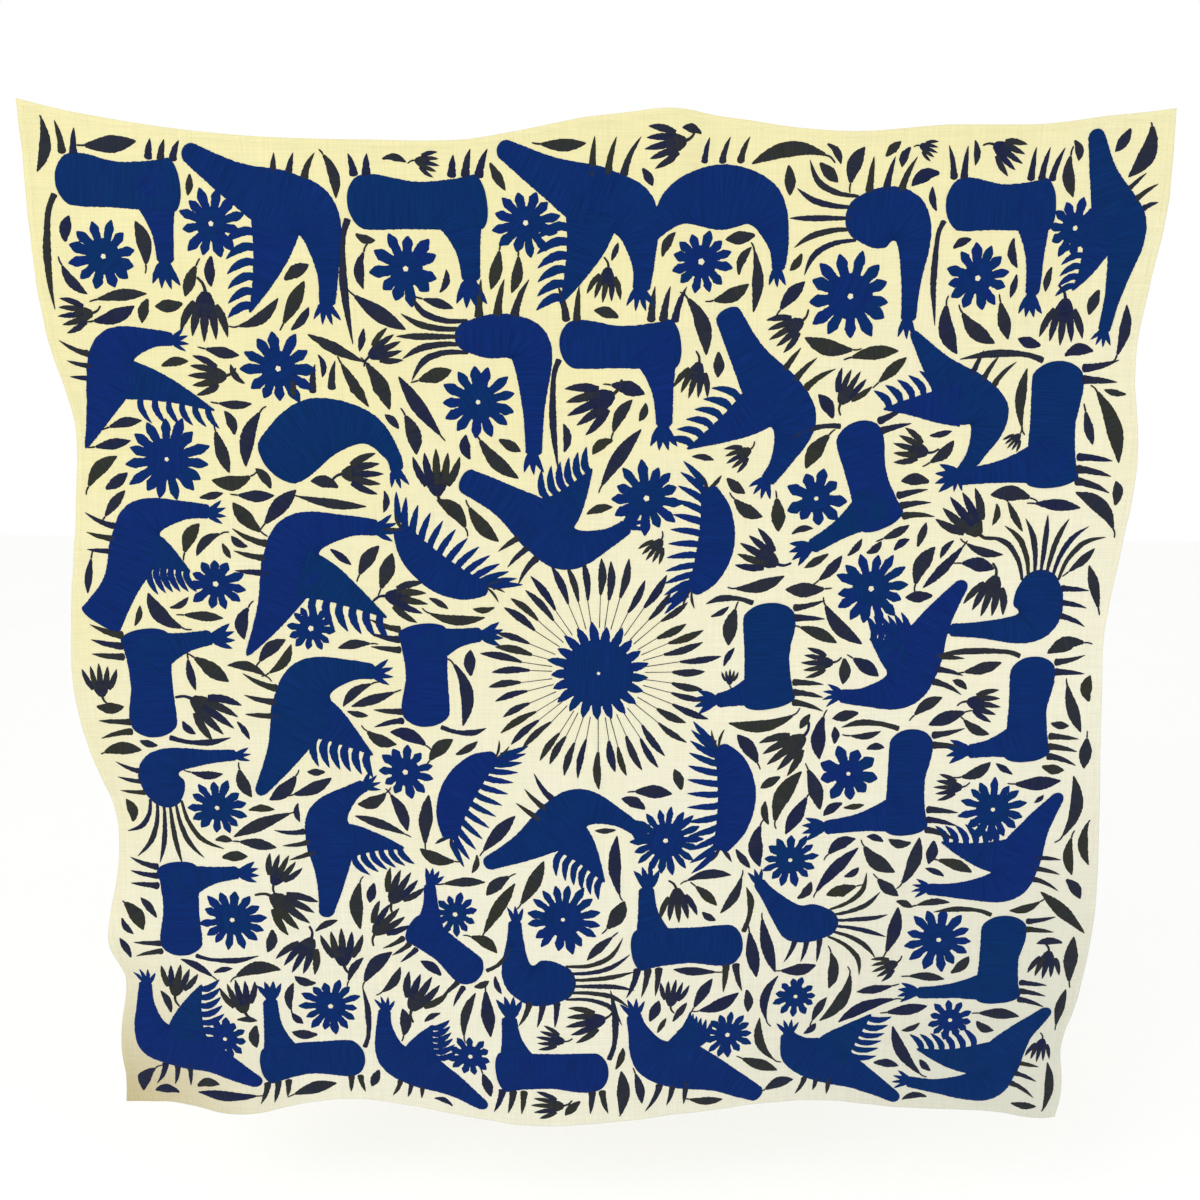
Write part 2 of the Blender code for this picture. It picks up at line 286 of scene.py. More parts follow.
# Columns: x and y of the middle; heading of the tip; length; width as a share of it
LEAVES = (
    (15, 5.5, -15, 9, 0.28), (27, 12, 100, 5.5, 0.35), (13, 34, -20, 7.5, 0.3), (17.5, 35, 100, 5, 0.4),
    (26, 28, 115, 5.5, 0.35), (29, 28.5, 95, 5, 0.35), (32.2, 29, 88, 7.5, 0.27), (44, 32, -60, 8, 0.28),
    (32.5, 41, 10, 6, 0.3), (22.5, 43, -10, 5, 0.3), (32.5, 49, 0, 6, 0.25), (12, 52, 0, 6, 0.28),
    (11.5, 55.5, -10, 6.5, 0.28), (8, 61, -45, 7.5, 0.3), (8.5, 68, -50, 8, 0.28),
    (29.5, 57.5, 75, 7.5, 0.3), (35, 65, 0, 6.5, 0.3), (27, 66.5, 0, 5, 0.3), (57.5, 46, 65, 8.5, 0.3),
    (48.5, 66, 8, 12, 0.14), (90, 6.5, -2, 7.5, 0.25), (78.5, 12.5, 60, 5, 0.3), (78.5, 28, 92, 6.5, 0.3),
    (82.5, 28, 90, 7, 0.28), (96.5, 22, -70, 5, 0.3), (105.5, 23, -50, 6, 0.3),
    (117, 28.5, -25, 6.5, 0.35), (126.5, 13.5, 85, 5.5, 0.35), (128, 29, -50, 6, 0.35),
    (67.5, 33.5, 5, 6, 0.28), (99.5, 50, -60, 6.5, 0.3), (78, 57, 45, 9.5, 0.25),
    (173.5, 12.5, 80, 7.5, 0.3), (171.5, 27.5, 110, 5.5, 0.3), (177, 27, 65, 6, 0.3),
    (163, 33, 60, 6.5, 0.33), (160, 37, 50, 8, 0.3), (142.5, 40, -8, 8, 0.28), (145, 44, -55, 7, 0.3),
    (133, 51.5, -50, 6, 0.3), (184, 53, 70, 13, 0.2), (176.5, 66, 5, 8, 0.25), (154, 58, -45, 5.5, 0.35),
    (147, 69.5, -40, 8, 0.3), (153, 70, -75, 9, 0.3), (165.5, 72, 75, 10, 0.2), (170, 69.5, 60, 7, 0.2),
    (3.8, 81, 88, 8.5, 0.2), (30.5, 75, 65, 6, 0.35), (25, 87, 5, 7, 0.25), (48, 76, 50, 9, 0.3),
    (35.5, 92, -40, 6.5, 0.35), (25, 97, 38, 7.5, 0.35), (20, 96.5, 80, 6, 0.25),
    (54.5, 76.5, -55, 6.5, 0.35), (28.5, 109.5, 60, 6.5, 0.25), (37.5, 114, -60, 8, 0.28),
    (42, 120, -25, 8, 0.28), (65.7, 112.5, -55, 7, 0.4), (58, 124, 80, 8, 0.28), (75.8, 70, 50, 8, 0.3),
    (97, 67.3, -5, 5.5, 0.3), (106, 120.5, 5, 7, 0.35), (124.5, 79.5, -15, 9, 0.25),
    (128.5, 68, 85, 6, 0.4), (116, 87, -30, 6, 0.25), (137, 77.5, -50, 6, 0.3), (154, 77, -65, 7.5, 0.35),
    (163.5, 78.5, 10, 6, 0.4), (164.5, 74, 5, 8, 0.22), (135.5, 90, 35, 7.5, 0.28),
    (144.5, 97.5, 35, 6, 0.4), (144.5, 107.5, -10, 11, 0.22), (156.5, 103.5, -35, 6, 0.35),
    (165, 107.5, 30, 9, 0.3), (183.5, 104, 70, 9.5, 0.22), (166, 96, -15, 7, 0.3),
    (131.5, 121, -65, 11, 0.28), (159.5, 125.5, -20, 7, 0.3), (178, 119, -5, 8.5, 0.3),
    (178.5, 123, -45, 4.5, 0.4), (7, 132, 65, 8, 0.3), (31, 132, 10, 7, 0.3), (6.5, 146.5, 60, 6.5, 0.4),
    (42, 141, 85, 5.5, 0.4), (41.5, 157, 65, 7, 0.3), (54, 157, -50, 9, 0.3), (26.5, 180, -75, 6, 0.35),
    (49.5, 158.5, -70, 7, 0.25), (77, 129, -50, 9.5, 0.25), (97.7, 145.2, -60, 6.5, 0.45),
    (88.5, 138, -70, 5, 0.4), (117, 136.8, -5, 8.5, 0.22), (106.6, 144, 88, 7, 0.3),
    (116.5, 142, 45, 6, 0.3), (69.5, 138.7, -5, 8, 0.22), (101.5, 159, 85, 9, 0.22),
    (116.5, 163, -60, 7, 0.3), (107, 171, -50, 7, 0.3), (75, 167, 85, 10, 0.25),
    (125.3, 166, 85, 5, 0.35), (117, 187, -8, 9, 0.25), (128.5, 180, 25, 8, 0.3),
    (74.5, 182, 85, 5.5, 0.35), (149.5, 134.5, 40, 8, 0.35), (151.5, 141, 40, 5.5, 0.4),
    (161, 143.5, 5, 10, 0.22), (185.5, 133, 85, 7.5, 0.25), (157, 166, -2, 9, 0.3), (175, 166, 5, 8, 0.3),
    (153, 178, 5, 5, 0.35), (145.5, 176, 50, 12, 0.2), (141.5, 159, 90, 8, 0.25),
    (164.5, 135.5, 20, 7, 0.3),
)

# The leaves that fill the ground between. Columns: length; width as a share of it
FILLING = (
    (12, 0.17), (10, 0.22), (8.5, 0.27), (10, 0.16), (7, 0.32), (8.5, 0.19), (6, 0.34), (7, 0.22),
    (5, 0.36), (6, 0.24), (4.4, 0.36), (5, 0.25), (4, 0.25), (3.4, 0.36),
)
TRIES = 24000

# The motifs and their layout, in centimetres


def smooth_line(values, places):
    """A curve through evenly numbered values: each span is a cubic whose end slopes join its neighbours."""
    values = np.asarray(values, float)
    last = len(values) - 1
    span = np.clip(np.floor(places).astype(int), 0, last - 1)
    share = places - span
    if values.ndim == 2:
        share = share[:, None]
    before, after = values[np.maximum(span - 1, 0)], values[np.minimum(span + 2, last)]
    start, end = values[span], values[span + 1]
    slope_in, slope_out = (end - before) / 2, (after - start) / 2
    return (
        start
        + slope_in * share
        + (3 * (end - start) - 2 * slope_in - slope_out) * share**2
        + (2 * (start - end) + slope_in + slope_out) * share**3
    )


def stroke(points, widths, tips, step):
    """One sewn shape as two rails. A smooth centre line runs through points, each rail lies half the width
    to one side of it, and at each end the width falls along a quarter circle as long as that tip.

    Across a wide shape the stitches turn together: their direction is averaged over half the width.
    """
    fine = np.linspace(0, len(points) - 1, 40 * len(points))
    centre = smooth_line(points, fine)
    half = np.maximum(smooth_line(widths, fine), 0.05) / 2
    length = np.concatenate(([0], np.cumsum(np.hypot(*np.diff(centre, axis=0).T))))
    total = length[-1]
    count = max(4, round(total / step))
    even = np.linspace(0, 1, count + 1)
    place = total * (0.65 * even + 0.35 * (0.5 - 0.5 * np.cos(math.pi * even)))
    centre = np.stack([np.interp(place, length, centre[:, k]) for k in (0, 1)], 1)
    half = np.interp(place, length, half)
    forward = np.gradient(centre, axis=0)
    reach = min(int(half.max() / step), count // 3)
    if reach > 1:
        weights = np.hanning(2 * reach + 3)[1:-1]
        padded = np.pad(forward, ((reach, reach), (0, 0)), "edge")
        forward = np.stack([np.convolve(padded[:, k], weights, "valid") for k in (0, 1)], 1)
    for tip, away in ((tips[0], place), (tips[1], total - place)):
        if tip > 0:
            half = half * np.sqrt(np.clip(1 - (1 - np.minimum(away / tip, 1)) ** 2, 0, 1))
    forward /= np.maximum(np.hypot(*forward.T), 1e-9)[:, None]
    side = np.stack((-forward[:, 1], forward[:, 0]), 1) * half[:, None]
    return centre + side, centre - side


def held_in(places, margin):
    """Moves each place that lies nearer to a hem than the margin to that margin. All in centimetres."""
    x, y = places[..., 0], places[..., 1]
    left, right, top, bottom = (
        np.interp(place, *(np.array(rows).T * 100))
        for place, rows in ((y, LEFT_EDGE), (y, RIGHT_EDGE), (x, TOP_HEM), (x, BOTTOM_HEM))
    )
    return np.stack((x.clip(left + margin, right - margin), y.clip(top + margin, bottom - margin)), -1)


class Design:
    """Collects the sewn shapes by kind. Each motif is drawn in its own units, then placed on the cloth, and
    what would reach a hem is drawn shorter."""

    STEPS = {"bodies": 0.125, "limbs": 0.16, "leaves": 0.16, "points": 0.16, "hearts": 0.125, "stems": 0.3}

    def __init__(self):
        self.shapes = {kind: [] for kind in self.STEPS}
        self.angle = self.x = self.y = 0.0
        self.size = self.side = 1.0

    def at(self, x, y, angle, size, side=1):
        """Sets where the next shapes go: their +u heads along the angle, and +v is their upper side."""
        self.x, self.y, self.angle, self.size, self.side = x, y, math.radians(angle), size, side
        return self

    def add(self, kind, points, widths, tips=(0.6, 0.6), least=0.0):
        """Adds a stroke, with its points and widths in the motif's units. Its tips are in centimetres, and
        so is the least that its widest place may be."""
        points = np.asarray(points, float) * self.size
        cos, sin = math.cos(self.angle), math.sin(self.angle)
        u, v = points[:, 0], points[:, 1] * self.side
        places = np.stack((self.x + u * cos - v * sin, self.y + u * sin + v * cos), 1)
        widths = np.asarray(widths, float) * self.size
        widths = widths * max(1, least / widths.max())
        if kind == "bodies":
            drawn = held_in(places, BODY_MARGIN)
        else:
            for short in (1.0, 0.85, 0.7, 0.55, 0.4):
                drawn = places[:1] + (places - places[:1]) * short
                if np.allclose(held_in(drawn, THIN_MARGIN), drawn):
                    break
        self.shapes[kind].append(stroke(drawn, widths, tips, self.STEPS[kind]))

    def blade(self, kind, root, tip, width, bend=0.0, root_width=0.35, belly=0.5, least=0.0):
        """A leaf, petal or feather from its root to its point, widest at its belly."""
        root, tip = np.array(root, float), np.array(tip, float)
        along = tip - root
        aside = np.array((-along[1], along[0])) * bend
        points = (
            root,
            root + along * belly * 0.5 + aside * 0.75,
            root + along * belly + aside,
            root + along * (0.5 + 0.5 * belly) + aside * 0.7,
            tip,
        )
        widths = (width * root_width, width * (0.64 + 0.34 * root_width), width, width * 0.76, width * 0.1)
        self.add(kind, points, widths, (0.2, 0.4), least)


def direction(turn):
    """A step of length one, for a turn in radians from +u towards +v."""
    return np.array((math.cos(turn), math.sin(turn)))


def crest(design, u, v, lean, count=3, long=0.15, wide=0.05, fan=0.5):
    """A fan of short blades at the end of a neck: ears, a comb or a beak."""
    for number in range(count):
        turn = (number - (count - 1) / 2) * fan + lean
        tip = (u + long * math.sin(turn), v + long * math.cos(turn))
        design.blade("points", (u, v - 0.03), tip, wide, 0.05, 0.8, 0.4, least=0.7)


def legs(design, feet, base, long, wide=0.06):
    """Flame-shaped legs from the body's edge: each foot is a place along it and how far its tip slants."""
    for place, slant in feet:
        points = (
            (place, base),
            (place + slant * 0.15, base - long * 0.3),
            (place + slant * 0.5, base - long * 0.66),
            (place + slant, base - long),
        )
        design.add("limbs", points, (wide * 1.5, wide * 1.1, wide * 0.8, wide * 0.1), (0.6, 0.3), 1.3)


def quadruped(design, neck, lean, thick, tail):
    """A long four-legged animal: a deep torso, a thick neck, ears and a tail."""
    deep = (thick * 0.84, thick * 0.95, thick * 0.82, thick * 0.88, thick)
    line = ((0, 0.02), (0.2, 0.01), (0.5, 0.03), (0.8, 0.02), (1.04, -0.01))
    design.add("bodies", line, deep, (2.6, 1.8))
    top = 0.16 + neck
    line = ((0.7, -0.02), (0.82, 0.09), (0.89 + lean * 0.4, 0.18 + neck * 0.4), (0.91 + lean, top))
    design.add("bodies", line, (0.36, 0.36, 0.19, 0.14), (1.0, 0.9))
    crest(design, 0.91 + lean, top, lean, 4, 0.2, 0.075, 0.42)
    edge = -thick * 0.4
    legs(design, ((0.06, -0.07), (0.15, 0.02), (0.78, 0.03), (0.88, 0.06), (0.98, 0.1)), edge, 0.3)
    points = ((0.0, thick * 0.3), (-0.05, 0.3), (-0.055, 0.33 + tail * 0.45), (-0.01, 0.3 + tail))
    design.add("limbs", points, (0.06, 0.05, 0.07, 0.008), (0.2, 0.2), 1.1)


def bird(design, neck, reach, wing, sweep, tail, teeth=6):
    """A bird from the side: a tail as wide as asked, a full breast, a bent neck, and a wing that ends in a
    hooked point and carries feather points along its rear edge."""
    line = (
        (-0.60, -0.38), (-0.27, -0.17), (0.08, -0.01), (0.33, 0.09),
        (0.40 + reach * 0.5, 0.14 + neck * 0.5), (0.39 + reach, 0.1 + neck),
    )
    design.add("bodies", line, (tail, 0.24 + 0.2 * tail, 0.45, 0.36, 0.17, 0.12), (1.2, 0.7))
    root = np.array((0.05, 0.06))
    along = np.array((sweep, wing))
    line = (root, root + along * 0.36 + (0.02, 0), root + along * 0.72, root + along + (-0.05, 0.03))
    deep = (0.40, 0.29, 0.15, 0.015)
    design.add("bodies", line, deep, (0.3, 0.3))
    far = np.hypot(*along)
    back = np.array((-along[1], along[0])) / far
    for number in range(teeth):
        share = 0.25 + 0.65 * number / (teeth - 1)
        middle = smooth_line(line, np.array([share * 3.0]))[0]
        base = middle + back * (smooth_line(deep, np.array([share * 3.0]))[0] * 0.5 - 0.04)
        tip = base + back * (0.24 - 0.07 * share) + along / far * 0.14
        design.blade("points", base, tip, 0.07, 0.16, 0.8, 0.4, least=1.3)
    crest(design, 0.39 + reach, 0.09 + neck, reach, 4, 0.15, 0.05, 0.5)
    legs(design, ((0.04, 0.02), (0.15, 0.06), (0.26, 0.12)), -0.17, 0.26, 0.05)


def rooster(design, neck, reach, full, plumes, plume, spread):
    """A rooster: a round body, a long neck with a comb, and tail plumes that fan out, each by itself."""
    line = (
        (-0.24, 0.0), (-0.05, 0.0), (0.14, 0.0), (0.26, 0.10),
        (0.27 + reach * 0.6, 0.14 + neck * 0.5), (0.27 + reach, 0.12 + neck),
    )
    design.add("bodies", line, (0.2 * full, 0.4 * full, 0.42 * full, 0.28, 0.15, 0.11), (1.4, 0.7))
    for number in range(plumes):
        share = number / (plumes - 1) - 0.5
        root = np.array((-0.2 + 0.1 * abs(share), 0.3 * full * share))
        tip = root + plume * np.array((-math.cos(share * spread), math.sin(share * spread)))
        design.blade("limbs", root, tip, 0.05, 0.4 * share, 0.5, 0.6, least=1.15)
    crest(design, 0.27 + reach, 0.11 + neck, reach, 3, 0.14, 0.05, 0.5)
    legs(design, ((-0.08, 0.02), (0.04, 0.05), (0.15, 0.1)), -0.17 * full, 0.25, 0.05)


def armadillo(design, neck, blunt):
    """A humped animal with short legs and a drooping head. Its rear is a point, or blunt and set high."""
    line = (
        (-0.55 + 0.1 * blunt, 0.3 - 0.1 * blunt), (-0.36 + 0.04 * blunt, 0.04 + 0.08 * blunt),
        (-0.02, -0.04), (0.32, 0.02), (0.46, 0.1 + neck * 0.5), (0.47, 0.1 + neck),
    )
    widths = (0.04 + 0.26 * blunt, 0.3 + 0.14 * blunt, 0.5 - 0.05 * blunt, 0.36 - 0.12 * blunt,
              0.17 - 0.05 * blunt, 0.1)
    design.add("bodies", line, widths, (0.3 + 1.6 * blunt, 0.6))
    legs(design, ((-0.14, 0.04), (0.0, 0.06), (0.14, 0.07)), -0.29, 0.2, 0.05)
    crest(design, 0.47, 0.09 + neck, 0.0, 3, 0.14, 0.05, 0.5)


def fringed(design, count=13, long=0.3):
    """A crescent body with a row of feather points along its back, feelers in front and two tail tips."""
    line = ((-0.5, -0.04), (-0.25, -0.14), (0.05, -0.16), (0.32, -0.09), (0.5, 0.04))
    deep = (0.15, 0.3, 0.35, 0.28, 0.13)
    design.add("bodies", line, deep, (0.6, 0.7))
    for number in range(count):
        share = number / (count - 1)
        rise = math.sin(math.pi * share)
        half = smooth_line(deep, np.array([share * 4.0]))[0] * 0.5 - 0.04
        base = smooth_line(line, np.array([share * 4.0]))[0] + np.array(((share - 0.5) * 0.04, half))
        tip = base + np.array(((share - 0.5) * 0.42, long * (0.7 + 0.35 * rise)))
        design.blade("points", base, tip, 0.072, 0.04, 1.0, 0.35, least=1.4)
    for number in range(3):
        turn = (number - 1) * 0.6 + 0.4
        tip = (0.47 + 0.2 * math.cos(turn), 0.03 + 0.2 * math.sin(turn))
        design.blade("limbs", (0.47, 0.03), tip, 0.03, 0.08, least=0.4)
    for number in range(2):
        design.blade("limbs", (-0.47, -0.04), (-0.62, -0.16 + 0.2 * number), 0.045, 0.05, 0.6, least=0.7)


def round_flower(design, x, y, radius, petals, rng):
    """A round heart with separate pointed petals, each a little longer, shorter or fuller than the next."""
    design.at(x, y, rng.uniform(0, 360), radius)
    heart = rng.uniform(0.52, 0.58)
    wide = 2 * heart * rng.uniform(0.95, 1.05)
    design.add("hearts", ((-heart, 0), (0, 0), (heart, 0)), (wide,) * 3, (heart * radius, heart * radius))
    for number in range(petals):
        turn = 2 * math.pi * (number + rng.uniform(-0.14, 0.14)) / petals
        away = direction(turn)
        root, tip = away * (heart - 0.12), away * rng.uniform(0.95, 1.18)
        along = tip - root
        width = 2 * math.pi * 0.8 / petals * rng.uniform(0.76, 0.94)
        points = (root, root + along * 0.4, root + along * 0.66, tip)
        design.add("points", points, (width * 0.8, width * 0.92, width, width * 0.16), (0.1, 0.3))


def sun_flower(design, rng):
    """The large flower in the middle: a toothed heart, and a wide ring of narrow leaves on hair stems."""
    design.at(*SUN, 0, 1)
    heart, teeth, leaves = 6.4, 21, 44
    design.add("hearts", ((-heart, 0), (0, 0), (heart, 0)), (2 * heart,) * 3, (heart, heart))
    for number in range(teeth):
        turn = 2 * math.pi * (number + 0.3) / teeth
        away = direction(turn)
        design.blade("points", away * 5.4, away * rng.uniform(8.6, 9.8), 1.9, 0.05, 1.0, 0.4)
    for number in range(leaves):
        turn = 2 * math.pi * (number + rng.uniform(-0.2, 0.2)) / leaves
        twist = turn + rng.uniform(-0.03, 0.03)
        inner = rng.uniform(12.3, 14.0) + 1.2 * (number % 2)
        outer = inner + rng.uniform(5.8, 8.0)
        away = direction(turn)
        tip = outer * direction(twist)
        design.blade("leaves", away * inner, tip, rng.uniform(1.35, 1.8), 0.04, 0.3)
        points = (away * 8.4, away * 0.5 * (8.4 + inner), away * (inner + 0.2))
        design.add("stems", points, (0.2, 0.16, 0.16), (0.1, 0.1))


def bell(design, x, y, angle, size, stem=0.25):
    """A flower of five pointed petals on a cup, seen from the side, on a short stem."""
    design.at(x, y, angle, size)
    design.add("leaves", ((0.0, 0), (0.2, 0), (0.5, 0)), (0.16, 0.42, 0.5), (0.2, 0.5))
    for lean in PETAL_LEANS:
        tip = (1.0 - abs(lean) * 0.4, lean * 1.15)
        design.blade("leaves", (0.24, lean * 0.45), tip, 0.19, lean * 0.15, 0.9, 0.42)
    design.add("stems", ((0.05, 0), (-stem * 0.5, 0.06), (-stem, 0.2)), (0.09, 0.07, 0.06), (0.1, 0.1), 0.35)


def leaf(design, x, y, angle, length, width, bend):
    """One pointed leaf about its middle, and on a long leaf the short stem that it grows from."""
    design.at(x, y, angle, length)
    design.blade("leaves", (-0.5, 0), (0.5, 0), width, bend, 0.2, 0.5)
    if length > 5:
        far = 0.5 + 1.5 / length
        points = ((-0.48, 0), (-0.25 - 0.5 * far, -0.3 * bend), (-far, -bend))
        design.add("stems", points, (0.4 / length, 0.34 / length, 0.3 / length), (0.1, 0.1))


class Room:
    """A chart of the cloth in small cells: those sewn already, and all within a margin of them."""

    def __init__(self, margin):
        reach = margin / CELL
        near = range(-math.ceil(reach), math.ceil(reach) + 1)
        self.disc = [
            (row, column) for row in near for column in near if row**2 + column**2 <= reach**2 + 0.5
        ]
        places = np.mgrid[0:CELLS, 0:CELLS].transpose(1, 2, 0)[..., ::-1] * CELL
        self.taken = (held_in(places, GROUND_MARGIN) != places).any(-1)

    def take(self, places):
        """Takes each place's cell and its neighbours within the margin."""
        spot = (places / CELL).astype(int)
        for row, column in self.disc:
            rows = np.clip(spot[..., 1] + row, 0, CELLS - 1)
            columns = np.clip(spot[..., 0] + column, 0, CELLS - 1)
            self.taken[rows, columns] = True

    def mark(self, shapes):
        """Takes the whole inside of each shape: lines from rail to rail, three to a station."""
        share = np.linspace(0, 1, 41)[:, None, None]
        for left, right in shapes:
            fine = np.linspace(0, len(left) - 1, 2 * len(left))
            low = np.floor(fine).astype(int).clip(0, len(left) - 2)
            part = (fine - low)[:, None]
            left_fine = left[low] * (1 - part) + left[low + 1] * part
            right_fine = right[low] * (1 - part) + right[low + 1] * part
            self.take(left_fine * (1 - share) + right_fine * share)

    def free(self, places):
        """Says for each group of places whether all its cells are free and lie inside the hems."""
        spot = np.clip((places / CELL).astype(int), 0, CELLS - 1)
        return ~self.taken[spot[..., 1], spot[..., 0]].any(-1)


def spindles(x, y, angle, length, width, bend=0.0):
    """Places on the outlines and middle lines of many leaf shapes at once, each bowed by its bend."""
    share = np.linspace(-0.5, 0.5, 9)
    bow = 1 - (2 * share) ** 2
    half = 0.5 * np.sqrt(bow)
    u = np.tile(share, 3)
    v = np.concatenate((half, -half, 0 * half)) * np.asarray(width)[..., None]
    v = v + np.tile(bow, 3) * np.asarray(bend)[..., None]
    cos, sin = np.cos(angle)[:, None], np.sin(angle)[:, None]
    long = np.asarray(length)[..., None]
    return np.stack((x[:, None] + (u * cos - v * sin) * long, y[:, None] + (u * sin + v * cos) * long), -1)


def settle(room, x, y, angle, length, width, forward=0.0):
    """Finds the free place nearest to the one asked for, with the leaf turned or shortened a little."""
    shift = np.array((0, -0.7, 0.7, -1.4, 1.4))
    tries = [
        (short, abs(dx) + abs(dy) + abs(turn) * 6, dx, dy, turn)
        for short in (1.0, 0.88, 0.76, 0.64, 0.52)
        for dx in shift for dy in shift for turn in (0, -0.2, 0.2)
    ]
    tries = np.array(sorted(tries, key=lambda row: (-row[0], row[1])))
    turned = math.radians(angle) + tries[:, 4]
    long = length * tries[:, 0]
    near_x = x + tries[:, 2] + forward * long * np.cos(turned)
    near_y = y + tries[:, 3] + forward * long * np.sin(turned)
    places = spindles(near_x, near_y, turned, long, np.full(len(tries), width))
    free = np.flatnonzero(room.free(places))
    if not len(free):
        return None
    best = free[0]
    room.take(places[best])
    return x + tries[best, 2], y + tries[best, 3], math.degrees(turned[best]), long[best]


def fill(design, room, rng):
    """Sews leaves into the ground that is left, largest first, each where a try finds it free."""
    for length, width in FILLING:
        x, y = rng.uniform(2, 189, (2, TRIES))
        angle, bend = rng.uniform(0, math.tau, TRIES), rng.uniform(-0.15, 0.15, TRIES)
        places = spindles(x, y, angle, float(length), float(width), bend)
        for number in np.flatnonzero(room.free(places)):
            if room.free(places[number][None])[0]:
                turn = math.degrees(angle[number])
                leaf(design, x[number], y[number], turn, length, width * 1.35, bend[number])
                room.mark(design.shapes["leaves"][-1:])


@functools.cache
def lay_out():
    """The whole design: animals and flowers at their places, then bells and leaves between them."""
    design = Design()
    rng = np.random.default_rng(SEED)
    kinds = (
        (quadruped, QUADRUPEDS), (bird, BIRDS), (rooster, ROOSTERS), (armadillo, ARMADILLOS),
        (fringed, FRINGED),
    )
    for figure, rows in kinds:
        for x, y, angle, size, side, *looks in rows:
            figure(design.at(x, y, angle, size, side), *looks)
    for x, y, radius, petals in FLOWERS:
        round_flower(design, x, y, radius, petals, rng)
    sun_flower(design, rng)
    room = Room(GAP)
    for shapes in design.shapes.values():
        room.mark(shapes)
    down, across = np.mgrid[0:CELLS, 0:CELLS] * CELL
    room.taken |= np.hypot(across - SUN[0], down - SUN[1]) < SUN_REACH
    for x, y, angle, size in BELLS:
        spot = settle(room, x, y, angle, size, 0.8, 0.5)
        if spot:
            bell(design, *spot)
            cup_and_petals = design.shapes["leaves"][-1 - len(PETAL_LEANS):]
            room.mark(cup_and_petals)
    for x, y, angle, size, width in LEAVES:
        spot = settle(room, x, y, angle, size, width)
        if spot:
            leaf(design, *spot, width * 1.2, rng.uniform(-0.1, 0.1))
            room.mark(design.shapes["leaves"][-1:])
    fill(design, room, rng)
    return design.shapes


# The cloth's surface, in metres


def smoothstep(value):
    """Turns 0 to 1 into a soft start and a soft stop: 3v^2 - 2v^3."""
    held = np.clip(value, 0, 1)
    return held * held * (3 - 2 * held)


def table_line(rows, places):
    """A smooth line through a table's two columns: cubic spans whose slopes are those of the chords."""
    rows = np.array(rows)
    keys, values = rows[:, 0], rows[:, 1]
    places = np.clip(places, keys[0], keys[-1])
    span = np.clip(np.searchsorted(keys, places, "right") - 1, 0, len(keys) - 2)
    before, after = np.maximum(span - 1, 0), np.minimum(span + 2, len(keys) - 1)
    wide = keys[span + 1] - keys[span]
    share = (places - keys[span]) / wide
    rise = values[span + 1] - values[span]
    slope_in = (values[span + 1] - values[before]) / (keys[span + 1] - keys[before]) * wide
    slope_out = (values[after] - values[span]) / (keys[after] - keys[span]) * wide
    square, cube = share**2, share**3
    return (
        values[span] + slope_in * share + (3 * rise - 2 * slope_in - slope_out) * square
        + (slope_in + slope_out - 2 * rise) * cube
    )


def folded(across, drop):
    """How far the cloth stands in front of the plane that it hangs in, in metres.

    It is the sum of the folds, each a bell section forward * exp(-(distance from the crest / half
    width)^2) whose crest, width and forward go softly from one end to the other, and of the ripples, whose
    bell also dies away from its edge of the cloth.
    """
    total = np.zeros(np.broadcast(across, drop).shape)
    for crest_top, crest_end, width_top, width_end, forward_top, forward_end, first, last in FOLDS:
        share = smoothstep((drop - first) / (last - first))
        crest_at = crest_top + (crest_end - crest_top) * share
        half_width = width_top + (width_end - width_top) * share
        forward = forward_top + (forward_end - forward_top) * share
        total = total + forward * np.exp(-(((across - crest_at) / half_width) ** 2))
    for side, crest_at, half_width, reach, forward in RIPPLES:
        inward = across if side == "left" else CLOTH_WIDTH - across
        total = total + forward * np.exp(-(((drop - crest_at) / half_width) ** 2) - (inward / reach) ** 2)
    return total


def handled(across, drop):
    """The small unevenness that the folds leave out: storage creases, each a soft bell section that fades
    at its ends, and puckers, a sum of low waves in several directions."""
    total = np.zeros(np.broadcast(across, drop).shape)
    fading = 0.08
    for way, place, first, last, half_width, forward in CREASES:
        along, aside = (across, drop) if way == "across" else (drop, across)
        fade = smoothstep((along - first) / fading) * smoothstep((last - along) / fading)
        wander = 0.002 * np.sin(along * 31)
        total = total + forward * fade * np.exp(-(((aside - place - wander) / half_width) ** 2))
    for degrees, wave, height, phase in PUCKERS:
        turn = math.radians(degrees)
        reading = (across * math.cos(turn) + drop * math.sin(turn)) * math.tau / wave
        total = total + height * np.sin(reading + phase + np.sin(reading * 0.31))
    return total


HOLD_FORWARD = float(folded(np.array(MIDDLE_HOLD_ACROSS), np.array(MIDDLE_HOLD_SAG)))


def cloth_points(across, drop, rise):
    """Points in space over places on the cloth, in metres, lifted by rise from its middle surface."""
    forward = folded(across, drop) + handled(across, drop)
    places = (across - MIDDLE_HOLD_ACROSS, HOLD_FORWARD - forward - rise, MIDDLE_HOLD_SAG - drop)
    return np.stack(np.broadcast_arrays(*places), -1)


def flat_places(share_across, share_down):
    """Where a point of the flat cloth hangs, as across and drop: it is shared out between the two side
    edges, then between the two hems."""
    flat_drop = CLOTH_DROP * share_down
    left = table_line(LEFT_EDGE, flat_drop)
    across = left + (table_line(RIGHT_EDGE, flat_drop) - left) * share_across
    top = table_line(TOP_HEM, across)
    return across, top + (table_line(BOTTOM_HEM, across) - top) * share_down


def linear(code):
    """Turns an sRGB hex colour into linear red, green and blue."""
    parts = np.array([int(code[place:place + 2], 16) for place in (1, 3, 5)]) / 255
    bright = ((parts + 0.055) / 1.055) ** 2.4
    return tuple(float(part) for part in np.where(parts <= 0.04045, parts / 12.92, bright))


